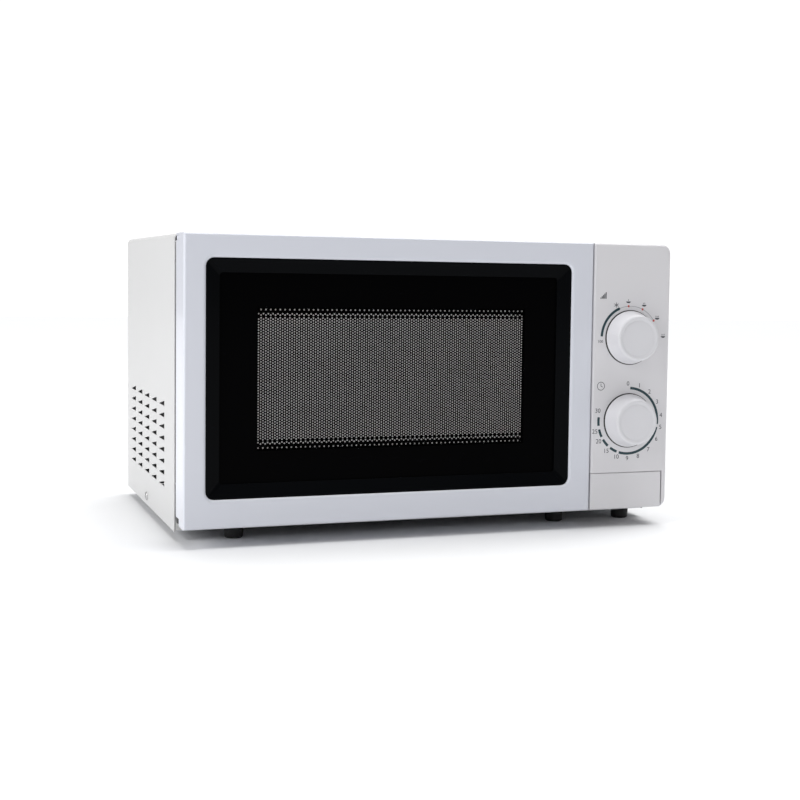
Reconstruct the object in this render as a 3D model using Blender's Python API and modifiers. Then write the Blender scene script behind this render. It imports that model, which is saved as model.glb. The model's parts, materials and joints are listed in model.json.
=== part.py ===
"""Countertop microwave oven with a side-hinged door, two turned knobs and a push bar that opens the door.

Frame: metres, +X to the right of the front, +Y to the back, +Z up. The origin is on the surface under the
feet, at the middle of the outside width and depth. The door, panel and knobs face -Y.
"""

import math

import bmesh
import bpy
from mathutils import Matrix, Vector

# ---------------------------------------------------------------- driving dimensions (metres)

WIDTH = 0.440  # cabinet, side to side
DEPTH = 0.324  # door face to the back edge of the wrapper
HEIGHT = 0.257  # surface to the top of the wrapper
PANEL_WIDTH = 0.077  # control panel
DOOR_THICKNESS = 0.042
KNOB_OUT = 0.018  # how far the knobs stand out of the panel
DOOR_UNDER = 0.0165  # surface to the door's lower edge
FOOT_HEIGHT = 0.0082
SHEET = 0.0008  # cabinet and cavity steel
WALL = 0.0028  # moulded walls of the door frame and the panel
GAP = 0.0003  # between pieces that touch
SEAM = 0.0006  # between the door and the panel
DOOR_GAP = 0.0015  # door's back to the front plate
RUNNING = 0.0004  # radial clearance of a turning shaft

WRAPPER_BEND = 0.0046
PANEL_CORNER = 0.008
EDGE_ROUND = 0.0022  # front edges of the mouldings

WINDOW_LEFT = 0.0178  # door edge to the window's edge, on each side
WINDOW_RIGHT = 0.0209
WINDOW_BOTTOM = 0.0236
WINDOW_TOP = 0.0195
WINDOW_CORNER = 0.007
BEZEL_WIDTH = 0.012  # sloping black border
BEZEL_DROP = 0.0045
BEZEL_THICKNESS = 0.0018
GLASS_THICKNESS = 0.003
GLASS_UNDER_BEZEL = 0.007

HINGE_INSET = 0.007  # hinge axis from the door's left side and from its back
HINGE_PIN_RADIUS = 0.0025
HINGE_PLATE = 0.002
HINGE_NOTCH_HEIGHT = 0.006
HINGE_NOTCH_DEPTH = 0.020
HINGE_NOTCH_WIDTH = 0.017
HINGE_BLOCK = 0.0145  # height of the door's solid corner around each pin
DOOR_CORNER = 0.006  # rounding of the door's back edge beside the hinges

HOOK_INSET = 0.0154  # latch hooks from the door's right edge
HOOK_THICKNESS = 0.003
HOOK_LOW = 0.0435  # lower hook above the door's lower edge
HOOK_HIGH = 0.0528  # upper hook below the door's upper edge
HOOK_REACH = 0.0135  # hook tip behind the front plate's face
SWITCH_PITCH = 0.034

BUTTON_WIDTH = 0.0716
BUTTON_HEIGHT = 0.0329
BUTTON_DEPTH = 0.012
BUTTON_TRAVEL = 0.004

KNOB_RADIUS = 0.024
KNOB_TAPER = 0.0025
KNOB_FACE = 0.0185
TIMER_RISE = 0.0475  # timer knob's axis above the push bar
KNOB_PITCH = 0.0753
KNOB_INSET = 0.0402  # knob axes from the right side
SHAFT_RADIUS = 0.003

CAVITY_SIDE = 0.014  # cabinet's left side to the cavity
CAVITY_RIGHT = 0.0364  # door's right edge to the cavity's right wall
CAVITY_FLOOR = 0.036
CAVITY_TOP = 0.021  # cavity roof below the cabinet's top
CAVITY_BACK = 0.007
CAVITY_CORNER = 0.006
TRAY_CLEARANCE = 0.0085  # glass tray's edge to the nearest wall
TRAY_THICKNESS = 0.004
TRAY_RIM = 0.012
ROLLER_INSET = 0.0425  # roller track from the tray's edge
ROLLER_RADIUS = 0.007
RECESS_DEPTH = 0.004
COUPLER_RADIUS = 0.012

FOOT_RADIUS = 0.00825
FOOT_INSET = 0.0052  # front feet's axes behind the cabinet's front edge
FOOT_BACK_INSET = 0.025
LOUVRE_COLUMNS = 5
LOUVRE_ROWS = 8
LOUVRE_INSET = 0.042  # middle of the rearmost column in front of the back edge
LOUVRE_PITCH_Y = 0.0430
LOUVRE_PITCH_Z = 0.01002
LOUVRE_LENGTH = 0.028
LOUVRE_HEIGHT = 0.0047  # at its front end
LOUVRE_TIP = 0.0006  # at its back end
LOUVRE_TOP = 0.1138
SCREW_HEIGHT = 0.0165
SCREW_SETBACK = 0.129  # side screw in front of the back edge
FAN_RADIUS = 0.040
CORE_HEIGHT = 0.060  # transformer core

# ---------------------------------------------------------------- places worked out from them

LEFT = -WIDTH / 2
RIGHT = WIDTH / 2
FRONT = -(DEPTH + KNOB_OUT) / 2 + KNOB_OUT
BACK = FRONT + DEPTH

DOOR_LEFT = LEFT
DOOR_RIGHT = RIGHT - PANEL_WIDTH - SEAM
DOOR_LOW = DOOR_UNDER
DOOR_HIGH = HEIGHT - 0.0002
DOOR_BACK = FRONT + DOOR_THICKNESS
PANEL_LEFT = RIGHT - PANEL_WIDTH
MIDDLE_Z = (DOOR_LOW + DOOR_HIGH) / 2

PLATE_FRONT = DOOR_BACK + DOOR_GAP
PLATE_BACK = PLATE_FRONT + 0.001
BODY_FRONT = PLATE_BACK + GAP

CAVITY_X0 = LEFT + CAVITY_SIDE
CAVITY_X1 = DOOR_RIGHT - CAVITY_RIGHT
CAVITY_Z0 = CAVITY_FLOOR
CAVITY_Z1 = HEIGHT - CAVITY_TOP
CAVITY_Y0 = BODY_FRONT
CAVITY_Y1 = BACK - CAVITY_BACK
TURN_X = (CAVITY_X0 + CAVITY_X1) / 2
TURN_Y = (CAVITY_Y0 + CAVITY_Y1) / 2
TRAY_RADIUS = min(CAVITY_X1 - CAVITY_X0, CAVITY_Y1 - CAVITY_Y0) / 2 - TRAY_CLEARANCE
TRACK_RADIUS = TRAY_RADIUS - ROLLER_INSET
RECESS_RADIUS = TRACK_RADIUS + 0.015
RECESS_Z = CAVITY_Z0 - RECESS_DEPTH
AXLE_Z = RECESS_Z + GAP + ROLLER_RADIUS
TRAY_Z = AXLE_Z + ROLLER_RADIUS + GAP

BASE_LOW = FOOT_HEIGHT + GAP
BASE_HIGH = BASE_LOW + SHEET
FLOOR = BASE_HIGH + GAP  # what stands on the base plate
BAY_X0 = CAVITY_X1 + SHEET + GAP
BAY_X1 = RIGHT - 2 * SHEET - 2 * GAP
BASE_BACK = BACK - 0.0055
REAR_Y = BASE_BACK + GAP  # front face of the rear panel

WINDOW_X0 = DOOR_LEFT + WINDOW_LEFT
WINDOW_X1 = DOOR_RIGHT - WINDOW_RIGHT
WINDOW_Z0 = DOOR_LOW + WINDOW_BOTTOM
WINDOW_Z1 = DOOR_HIGH - WINDOW_TOP
BEZEL_FRONT = FRONT + 0.0015
GLASS_FRONT = BEZEL_FRONT + BEZEL_DROP + BEZEL_THICKNESS + GAP
SCREEN_FRONT = GLASS_FRONT + GLASS_THICKNESS + GAP

HINGE_X = DOOR_LEFT + HINGE_INSET
HINGE_Y = DOOR_BACK - HINGE_INSET
HINGE = (HINGE_X, HINGE_Y, MIDDLE_Z)
HOOK_X = DOOR_RIGHT - HOOK_INSET
HOOK_TIP = PLATE_FRONT + HOOK_REACH

BUTTON_TOP = DOOR_LOW + GAP + BUTTON_HEIGHT
KNOB_X = RIGHT - KNOB_INSET
TIMER_Z = BUTTON_TOP + TIMER_RISE
POWER_Z = TIMER_Z + KNOB_PITCH

PLATE_RIGHT = DOOR_RIGHT - 0.0014
BUTTON_LEFT = PANEL_LEFT + GAP
BUTTON_RIGHT = BUTTON_LEFT + BUTTON_WIDTH
SPRING_X = BUTTON_RIGHT - 0.020
SPRING_Z = DOOR_LOW + 0.0165
PUSH_Z = DOOR_LOW + 0.0135
LEVER_Y = BODY_FRONT + 0.0055
LEVER_Z = DOOR_LOW + 0.0275
GUIDE_Y0 = BODY_FRONT + 0.056
GUIDE_Y1 = GUIDE_Y0 + 0.070
GUIDE_Z1 = HEIGHT - 0.052
GUIDE_Z0 = GUIDE_Z1 - 0.090
GUIDE_REACH = 0.0305
TUBE_X = BAY_X0 + GUIDE_REACH + 0.0015  # left face of the magnetron's frame
TUBE_Y = (GUIDE_Y0 + GUIDE_Y1) / 2
TUBE_Z = GUIDE_Z1 - 0.025
LAMP_Y = BACK - 0.080
LAMP_Z = HEIGHT - 0.063
FAN_X = (BAY_X0 + BAY_X1) / 2
FAN_Z = FLOOR + 0.113
GLAND_X = BAY_X1 - 0.030
GLAND_Z = FLOOR + 0.028
GLAND_RADIUS = 0.007

# ---------------------------------------------------------------- scene and materials

for old in list(bpy.data.objects):
    bpy.data.objects.remove(old)

PARTS = bpy.data.collections.new("microwave_oven")
CUTTERS = bpy.data.collections.new("cutters")
bpy.context.scene.collection.children.link(PARTS)
bpy.context.scene.collection.children.link(CUTTERS)


def material(name, colour, roughness, metallic=0.0):
    """A plain Principled material."""
    made = bpy.data.materials.new(name)
    made.use_nodes = True
    shader = made.node_tree.nodes["Principled BSDF"]
    shader.inputs["Base Color"].default_value = (*colour, 1.0)
    shader.inputs["Roughness"].default_value = roughness
    shader.inputs["Metallic"].default_value = metallic
    made.diffuse_color = (*colour, 1.0)
    return made


LOOKS = {
    "case_paint": ((0.80, 0.81, 0.82), 0.45, 0.0),
    "door_plastic": ((0.56, 0.60, 0.64), 0.4, 0.0),
    "panel_plastic": ((0.54, 0.56, 0.58), 0.4, 0.0),
    "black_gloss": ((0.01, 0.01, 0.012), 0.12, 0.0),
    "black_matte": ((0.02, 0.02, 0.02), 0.6, 0.0),
    "glass": ((0.10, 0.11, 0.12), 0.05, 0.0),
    "screen_paint": ((0.03, 0.03, 0.03), 0.5, 0.0),
    "film": ((0.60, 0.62, 0.62), 0.4, 0.0),
    "enamel": ((0.55, 0.56, 0.55), 0.35, 0.0),
    "zinc": ((0.55, 0.56, 0.58), 0.4, 0.9),
    "steel": ((0.60, 0.60, 0.60), 0.3, 1.0),
    "aluminium": ((0.75, 0.76, 0.78), 0.35, 1.0),
    "iron": ((0.20, 0.19, 0.18), 0.6, 0.8),
    "copper": ((0.60, 0.26, 0.12), 0.4, 0.8),
    "brass": ((0.70, 0.55, 0.25), 0.3, 1.0),
    "white_plastic": ((0.75, 0.75, 0.73), 0.5, 0.0),
    "grey_plastic": ((0.25, 0.26, 0.27), 0.5, 0.0),
    "red_plastic": ((0.50, 0.06, 0.05), 0.5, 0.0),
    "circuit_board": ((0.10, 0.25, 0.10), 0.5, 0.0),
    "mica": ((0.50, 0.42, 0.30), 0.5, 0.0),
    "clear_glass": ((0.70, 0.75, 0.74), 0.05, 0.0),
    "ceramic": ((0.75, 0.68, 0.60), 0.6, 0.0),
    "rubber": ((0.02, 0.02, 0.02), 0.8, 0.0),
}


# ---------------------------------------------------------------- modelling helpers


def box(x0, x1, y0, y1, z0, z1, bm=None):
    """A box between two corners, in a new bmesh or added to one."""
    bm = bm or bmesh.new()
    made = bmesh.ops.create_cube(bm, size=1.0)["verts"]
    bmesh.ops.scale(bm, vec=(x1 - x0, y1 - y0, z1 - z0), verts=made)
    bmesh.ops.translate(bm, vec=((x0 + x1) / 2, (y0 + y1) / 2, (z0 + z1) / 2), verts=made)
    return bm


def turn_to(axis):
    """The rotation that takes +Z to an axis."""
    return Vector((0, 0, 1)).rotation_difference(Vector(axis)).to_matrix().to_4x4()


def cylinder(centre, axis, radius, length, bm=None, segments=24):
    """A cylinder centred on a point, along an axis."""
    bm = bm or bmesh.new()
    bmesh.ops.create_cone(
        bm,
        cap_ends=True,
        segments=segments,
        radius1=radius,
        radius2=radius,
        depth=length,
        matrix=Matrix.Translation(centre) @ turn_to(axis),
    )
    return bm


def near(a, b):
    return abs(a - b) < 1e-5


def fillet(bm, radius, test, segments=3):
    """Rounds the edges whose two ends both pass the test."""
    edges = [e for e in bm.edges if test(e.verts[0].co, e.verts[1].co)]
    bmesh.ops.bevel(
        bm, geom=edges, offset=radius, segments=segments, profile=0.5, affect="EDGES", clamp_overlap=True
    )
    return bm


def along(axis):
    """A test for the edges that run along one axis: 0, 1 or 2."""
    others = [i for i in range(3) if i != axis]
    return lambda a, b: all(near(a[i], b[i]) for i in others)


def rounded(x0, x1, y0, y1, z0, z1, axis, radius, segments=3):
    """A box with the edges along one axis rounded."""
    return fillet(box(x0, x1, y0, y1, z0, z1), radius, along(axis), segments)


def place(obj, collection, look, origin):
    """Gives an object its material and puts its origin at a point, its shape staying where it is."""
    collection.objects.link(obj)
    if look:
        obj.data.materials.append(material(obj.name + "_material", *LOOKS[look]))
    if obj.type == "MESH":
        obj.data.transform(Matrix.Translation(-Vector(origin)))
    obj.location = origin
    return obj


def piece(name, bm, look, origin=(0, 0, 0)):
    """One sub-part from a bmesh in world coordinates."""
    mesh = bpy.data.meshes.new(name)
    bmesh.ops.recalc_face_normals(bm, faces=bm.faces)
    bm.to_mesh(mesh)
    bm.free()
    return place(bpy.data.objects.new(name, mesh), PARTS, look, origin)


def combine(obj, bm, operation="DIFFERENCE"):
    """Cuts a bmesh out of an object, or joins it on with UNION."""
    number = len([m for m in obj.modifiers if m.type == "BOOLEAN"])
    mesh = bpy.data.meshes.new(f"{obj.name}_tool_{number}")
    bmesh.ops.recalc_face_normals(bm, faces=bm.faces)
    bm.to_mesh(mesh)
    bm.free()
    tool = bpy.data.objects.new(mesh.name, mesh)
    CUTTERS.objects.link(tool)
    tool.display_type = "WIRE"
    tool.hide_render = True
    step = obj.modifiers.new(f"step_{number}", "BOOLEAN")
    step.operation = operation
    step.solver = "EXACT"
    step.object = tool
    return obj


def join(obj, bm):
    return combine(obj, bm, "UNION")


def solidify(obj, thickness, outward=True):
    """Thickens an open sheet evenly, to its outside or inside."""
    shell = obj.modifiers.new("thickness", "SOLIDIFY")
    shell.thickness = thickness
    shell.offset = 1.0 if outward else -1.0
    shell.use_even_offset = True
    return obj


def turned(name, profile, centre, axis, look, steps=32, ring=False, origin=None):
    """A lathe-turned piece: (radius, height) points down its outer side, from a centre along an axis."""
    mesh = bpy.data.meshes.new(name)
    count = len(profile)
    edges = [(i, i + 1) for i in range(count - 1)]
    if ring:
        edges.append((count - 1, 0))
    mesh.from_pydata([(r, 0, h) for r, h in profile], edges, [])
    obj = bpy.data.objects.new(name, mesh)
    PARTS.objects.link(obj)
    obj.data.materials.append(material(name + "_material", *LOOKS[look]))
    obj.location = centre
    obj.rotation_euler = turn_to(axis).to_euler()
    lathe = obj.modifiers.new("lathe", "SCREW")
    lathe.axis = "Z"
    lathe.angle = math.tau
    lathe.steps = steps
    lathe.render_steps = steps
    lathe.use_merge_vertices = True
    lathe.merge_threshold = 0.00001
    lathe.use_smooth_shade = True
    return obj


def coil(name, start, axis, radius, wire, length, turns, look):
    """A wire coil spring with closed ends."""
    per_turn = 8
    count = turns * per_turn
    data = bpy.data.curves.new(name, "CURVE")
    data.dimensions = "3D"
    data.bevel_depth = wire
    data.bevel_resolution = 2
    data.use_fill_caps = True
    spline = data.splines.new("POLY")
    spline.points.add(count)
    for i in range(count + 1):
        angle = math.tau * i / per_turn
        height = wire + (length - 2 * wire) * i / count
        spline.points[i].co = (radius * math.cos(angle), radius * math.sin(angle), height, 1)
    obj = bpy.data.objects.new(name, data)
    obj.rotation_euler = turn_to(axis).to_euler()
    return place(obj, PARTS, look, start)


# ---------------------------------------------------------------- cabinet


def make_wrapper():
    """Painted steel sides and top in one bent sheet, with vents and a screw hole low on each side."""
    bm = box(LEFT, RIGHT, BODY_FRONT, BACK, FOOT_HEIGHT, HEIGHT)
    open_faces = [f for f in bm.faces if abs(f.normal.y) > 0.5 or f.normal.z < -0.5]
    bmesh.ops.delete(bm, geom=open_faces, context="FACES")
    fillet(bm, WRAPPER_BEND, lambda a, b: near(a.z, HEIGHT) and near(b.z, HEIGHT) and near(a.x, b.x), 4)
    wrapper = solidify(piece("outer_wrapper", bm, "case_paint"), SHEET, outward=False)
    slots = bmesh.new()
    for column in range(LOUVRE_COLUMNS):
        y = BACK - LOUVRE_INSET - column * LOUVRE_PITCH_Y
        for row in range(LOUVRE_ROWS):
            z = LOUVRE_TOP - row * LOUVRE_PITCH_Z
            add_louvre(slots, y, z)
    combine(wrapper, slots)
    y = BACK - SCREW_SETBACK
    holes = cylinder((LEFT, y, SCREW_HEIGHT), (1, 0, 0), 0.002, 0.004, segments=12)
    cylinder((RIGHT, y, SCREW_HEIGHT), (1, 0, 0), 0.002, 0.004, bm=holes, segments=12)
    combine(wrapper, holes)


def add_louvre(bm, y, z):
    """The opening of one louvre: level along its lower edge, its top edge falling from front to back."""
    known = set(bm.verts)
    front = y - LOUVRE_LENGTH / 2
    box(LEFT - 0.001, LEFT + 0.002, front, y + LOUVRE_LENGTH / 2, z - LOUVRE_HEIGHT, z, bm)
    for v in bm.verts:
        if v not in known and v.co.y > y and v.co.z > z - LOUVRE_HEIGHT / 2:
            v.co.z = z - LOUVRE_HEIGHT + LOUVRE_TIP


def make_base():
    """Zinc base plate with turned-up sides, stood on five rubber feet that push into its holes."""
    low = BASE_LOW
    x0 = LEFT + SHEET + GAP
    bm = box(x0, -x0, BODY_FRONT + GAP, BASE_BACK, low, low + 0.0155)
    open_faces = [f for f in bm.faces if abs(f.normal.y) > 0.5 or f.normal.z > 0.5]
    bmesh.ops.delete(bm, geom=open_faces, context="FACES")
    fillet(bm, 0.0015, lambda a, b: near(a.z, low) and near(b.z, low) and near(a.x, b.x), 2)
    base = solidify(piece("base_plate", bm, "zinc"), SHEET, outward=False)
    holes = bmesh.new()
    for _, x, y in feet():
        cylinder((x, y, low), (0, 0, 1), 0.0025 + GAP, 0.006, bm=holes, segments=12)
    combine(base, holes)
    screws = bmesh.new()
    for x in (x0, -x0):
        cylinder((x, BACK - SCREW_SETBACK, SCREW_HEIGHT), (1, 0, 0), 0.002, 0.006, bm=screws, segments=12)
    combine(base, screws)
    vents = bmesh.new()
    for i in range(6):
        x = BAY_X0 + 0.020 + i * 0.013
        box(x, x + 0.005, 0.050, 0.090, low - 0.002, low + 0.003, vents)
    combine(base, vents)


def feet():
    """(name, x, y) of each foot."""
    front = BODY_FRONT + FOOT_INSET
    back = BACK - FOOT_BACK_INSET
    outer = RIGHT - 0.022
    return [
        ("foot_front_left", LEFT + 0.051, front),
        ("foot_front_right", DOOR_RIGHT - 0.0124, front),
        ("foot_panel_side", outer, front),
        ("foot_back_left", LEFT + 0.051, back),
        ("foot_back_right", outer, back),
    ]


def make_feet():
    for name, x, y in feet():
        profile = [
            (0, BASE_HIGH + 0.0012),
            (0.0025, BASE_HIGH + 0.0012),
            (0.0025, FOOT_HEIGHT),
            (FOOT_RADIUS, FOOT_HEIGHT),
            (FOOT_RADIUS - 0.0004, 0.0010),
            (FOOT_RADIUS - 0.0016, 0),
            (0, 0),
        ]
        turned(name, profile, (x, y, 0), (0, 0, 1), "rubber", steps=20)


def make_front_plate():
    """Steel plate around the cavity's mouth, which the door closes onto."""
    plate_x1 = PLATE_RIGHT
    plate = piece(
        "front_plate",
        box(LEFT + 0.0012, plate_x1, PLATE_FRONT, PLATE_BACK, FLOOR, HEIGHT - SHEET - 2 * GAP),
        "enamel",
    )
    mouth = rounded(
        CAVITY_X0, CAVITY_X1, PLATE_FRONT - 0.01, PLATE_BACK + 0.01, CAVITY_Z0, CAVITY_Z1, 1, CAVITY_CORNER
    )
    combine(plate, mouth)
    cuts = bmesh.new()
    for low in hook_heights():
        slot = (HOOK_X - 0.0035, HOOK_X + HOOK_THICKNESS + 0.0015)
        box(*slot, PLATE_FRONT - 0.005, PLATE_BACK + 0.005, low - 0.0025, low + 0.0165, cuts)
    for sign in (-1, 1):
        z = bracket_z(sign)
        x1 = HINGE_X + 0.0065
        box(LEFT, x1, PLATE_FRONT - 0.005, PLATE_BACK + 0.005, z - 0.0022, z + 0.0022, cuts)
    combine(plate, cuts)


def hook_heights():
    """The lower edge of each latch hook."""
    return (DOOR_LOW + HOOK_LOW, DOOR_HIGH - HOOK_HIGH)


def bracket_z(sign):
    """Middle of a hinge bracket's arm: sign -1 for the lower bracket and 1 for the upper one."""
    return MIDDLE_Z + sign * ((DOOR_HIGH - DOOR_LOW) / 2 - HINGE_NOTCH_HEIGHT / 2 - 0.0005)


def make_hinges():
    """A bracket at the top and bottom of the front plate, each with a pin into the door's corner."""
    for name, sign in (("hinge_lower", -1), ("hinge_upper", 1)):
        z = bracket_z(sign)
        half = HINGE_PLATE / 2
        arm = box(HINGE_X - 0.0046, HINGE_X + 0.0052, HINGE_Y, BODY_FRONT + 0.0016, z - half, z + half)
        bracket = piece(name, arm, "steel")
        join(bracket, cylinder((HINGE_X, HINGE_Y, z), (0, 0, 1), 0.0052, HINGE_PLATE, segments=20))
        z_in = z - sign * 0.0225
        leg = (HINGE_X - 0.0040, HINGE_X + 0.0050)
        z_low, z_high = sorted((z + sign * half * 0.999, z_in))
        join(bracket, box(*leg, BODY_FRONT, BODY_FRONT + 0.0015, z_low, z_high))
        pin_z = z - sign * 0.0055
        join(bracket, cylinder((HINGE_X, HINGE_Y, pin_z), (0, 0, 1), HINGE_PIN_RADIUS, 0.0105, segments=20))


def make_rear_panel():
    """Flat steel back with the fan's intake slots and the round hole of the cord gland."""
    x0 = LEFT + SHEET + 2 * GAP
    top = HEIGHT - SHEET - 2 * GAP
    bm = box(x0, -x0, REAR_Y, REAR_Y + SHEET, FLOOR, top)
    fillet(bm, WRAPPER_BEND, lambda a, b: near(a.z, top) and near(b.z, top) and near(a.x, b.x))
    panel = piece("rear_panel", bm, "zinc")
    slots = bmesh.new()
    for row in range(9):
        z = FAN_Z + (row - 4) * 0.008
        reach = math.sqrt(FAN_RADIUS**2 - (z - FAN_Z) ** 2) - 0.002
        box(FAN_X - reach, FAN_X - 0.002, REAR_Y - 0.002, REAR_Y + 0.003, z - 0.0018, z + 0.0018, slots)
        box(FAN_X + 0.002, FAN_X + reach, REAR_Y - 0.002, REAR_Y + 0.003, z - 0.0018, z + 0.0018, slots)
    combine(panel, slots)
    combine(panel, cylinder((GLAND_X, REAR_Y, GLAND_Z), (0, 1, 0), GLAND_RADIUS + GAP, 0.006))


def make_gland():
    """Strain relief where the mains cord would come out."""
    inside = -(0.009 + SHEET + GAP)
    profile = [
        (GLAND_RADIUS - 0.0005, 0.0035),
        (GLAND_RADIUS + 0.0025, 0.0025),
        (GLAND_RADIUS + 0.0025, GAP),
        (GLAND_RADIUS, GAP),
        (GLAND_RADIUS, inside),
        (0.0036, inside),
        (0.0036, 0.0035),
    ]
    place_at = (GLAND_X, REAR_Y + SHEET, GLAND_Z)
    turned("cord_gland", profile, place_at, (0, 1, 0), "black_matte", steps=24, ring=True)


def make_side_screws():
    """A domed screw low on each side, through the wrapper into the base plate's turned-up edge."""
    for name, x, sign in (("wrapper_screw_left", LEFT, -1), ("wrapper_screw_right", RIGHT, 1)):
        profile = [
            (0, 0.0022),
            (0.0018, 0.0021),
            (0.0033, 0.0014),
            (0.0040, GAP),
            (0.0016, GAP),
            (0.0016, -0.0045),
            (0, -0.0045),
        ]
        turned(name, profile, (x, BACK - SCREW_SETBACK, SCREW_HEIGHT), (sign, 0, 0), "steel", steps=20)


# ---------------------------------------------------------------- oven cavity and turntable


def make_cavity():
    """Enamelled steel box, open at the front, with a round recess for the roller ring in its floor."""
    bm = box(CAVITY_X0, CAVITY_X1, CAVITY_Y0, CAVITY_Y1, CAVITY_Z0, CAVITY_Z1)
    bmesh.ops.delete(bm, geom=[f for f in bm.faces if f.normal.y < -0.5], context="FACES")
    fillet(bm, CAVITY_CORNER, lambda a, b: near(a.x, b.x) and near(a.z, b.z))
    cavity = solidify(piece("cavity_shell", bm, "enamel"), SHEET)
    low = RECESS_Z - SHEET
    high = CAVITY_Z0 - SHEET / 2
    middle = (TURN_X, TURN_Y, (low + high) / 2)
    join(cavity, cylinder(middle, (0, 0, 1), RECESS_RADIUS + SHEET, high - low, segments=48))
    middle = (TURN_X, TURN_Y, RECESS_Z + 0.005)
    combine(cavity, cylinder(middle, (0, 0, 1), RECESS_RADIUS, 0.010, segments=48))
    combine(cavity, cylinder((TURN_X, TURN_Y, RECESS_Z), (0, 0, 1), 0.006, 0.01, segments=20))
    x = CAVITY_X1
    port = box(x - 0.003, x + 0.003, GUIDE_Y0 + 0.008, GUIDE_Y1 - 0.008, GUIDE_Z0 + 0.008, GUIDE_Z0 + 0.052)
    combine(cavity, port)
    vents = bmesh.new()
    for i in range(3):
        for k in range(3):
            y = LAMP_Y - 0.010 + i * 0.007
            z = LAMP_Z - 0.007 + k * 0.007
            cylinder((CAVITY_X1, y, z), (1, 0, 0), 0.0018, 0.006, bm=vents, segments=6)
            y = CAVITY_Y0 + 0.040 + i * 0.007
            cylinder((CAVITY_X0, y, z), (1, 0, 0), 0.0018, 0.006, bm=vents, segments=6)
    combine(cavity, vents)


def make_waveguide():
    """Steel duct on the cavity's right wall, and the mica sheet that covers its port inside the cavity."""
    bm = box(BAY_X0, BAY_X0 + GUIDE_REACH, GUIDE_Y0, GUIDE_Y1, GUIDE_Z0, GUIDE_Z1)
    bmesh.ops.delete(bm, geom=[f for f in bm.faces if f.normal.x < -0.5], context="FACES")
    guide = solidify(piece("waveguide", bm, "zinc"), SHEET, outward=False)
    hole = cylinder((BAY_X0 + GUIDE_REACH, TUBE_Y, TUBE_Z), (1, 0, 0), 0.0095, 0.006, segments=20)
    combine(guide, hole)
    x = CAVITY_X1 - GAP
    cover = rounded(x - 0.0006, x, GUIDE_Y0, GUIDE_Y1, GUIDE_Z0 + 0.002, GUIDE_Z0 + 0.058, 0, 0.004)
    piece("waveguide_cover", cover, "mica")


def make_magnetron():
    """Antenna into the waveguide, cooling fins around the tube, and the steel frame that holds them."""
    y0, y1 = TUBE_Y - 0.039, TUBE_Y + 0.039
    z0, z1 = TUBE_Z - 0.034, TUBE_Z + 0.034
    frame = piece("magnetron_yoke", box(TUBE_X, TUBE_X + 0.058, y0, y1, z0, z1), "zinc")
    combine(frame, box(TUBE_X + 0.002, TUBE_X + 0.056, y0 - 0.01, y1 + 0.01, z0 + 0.002, z1 - 0.002))
    tube = cylinder((TUBE_X + 0.029, TUBE_Y, TUBE_Z), (1, 0, 0), 0.019, 0.050, segments=16)
    fins = piece("magnetron_fins", tube, "aluminium")
    sheets = bmesh.new()
    for i in range(7):
        x = TUBE_X + 0.008 + i * 0.007
        box(x, x + 0.001, y0 + 0.002, y1 - 0.002, z0 + 0.0035, z1 - 0.0035, sheets)
    join(fins, sheets)
    profile = [
        (0, 0.026),
        (0.005, 0.0255),
        (0.0075, 0.022),
        (0.0075, 0.008),
        (0.0082, 0.008),
        (0.0082, -0.0009),
        (0, -0.0009),
    ]
    place_at = (TUBE_X - 0.0013, TUBE_Y, TUBE_Z)
    turned("magnetron_antenna", profile, place_at, (-1, 0, 0), "ceramic", steps=20)


def make_lamp():
    """Lamp holder and bulb beside the perforated corner of the cavity's right wall."""
    x = BAY_X0 + 0.0165
    y = LAMP_Y + 0.0130
    holder = box(x - 0.011, x + 0.011, y, y + 0.016, LAMP_Z - 0.011, LAMP_Z + 0.011)
    piece("lamp_holder", holder, "white_plastic")
    profile = [
        (0, 0.031),
        (0.006, 0.0300),
        (0.0100, 0.025),
        (0.0110, 0.019),
        (0.0095, 0.012),
        (0.0065, 0.007),
        (0.0065, GAP),
        (0, GAP),
    ]
    turned("lamp_bulb", profile, (x, y, LAMP_Z), (0, -1, 0), "clear_glass", steps=20)


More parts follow.
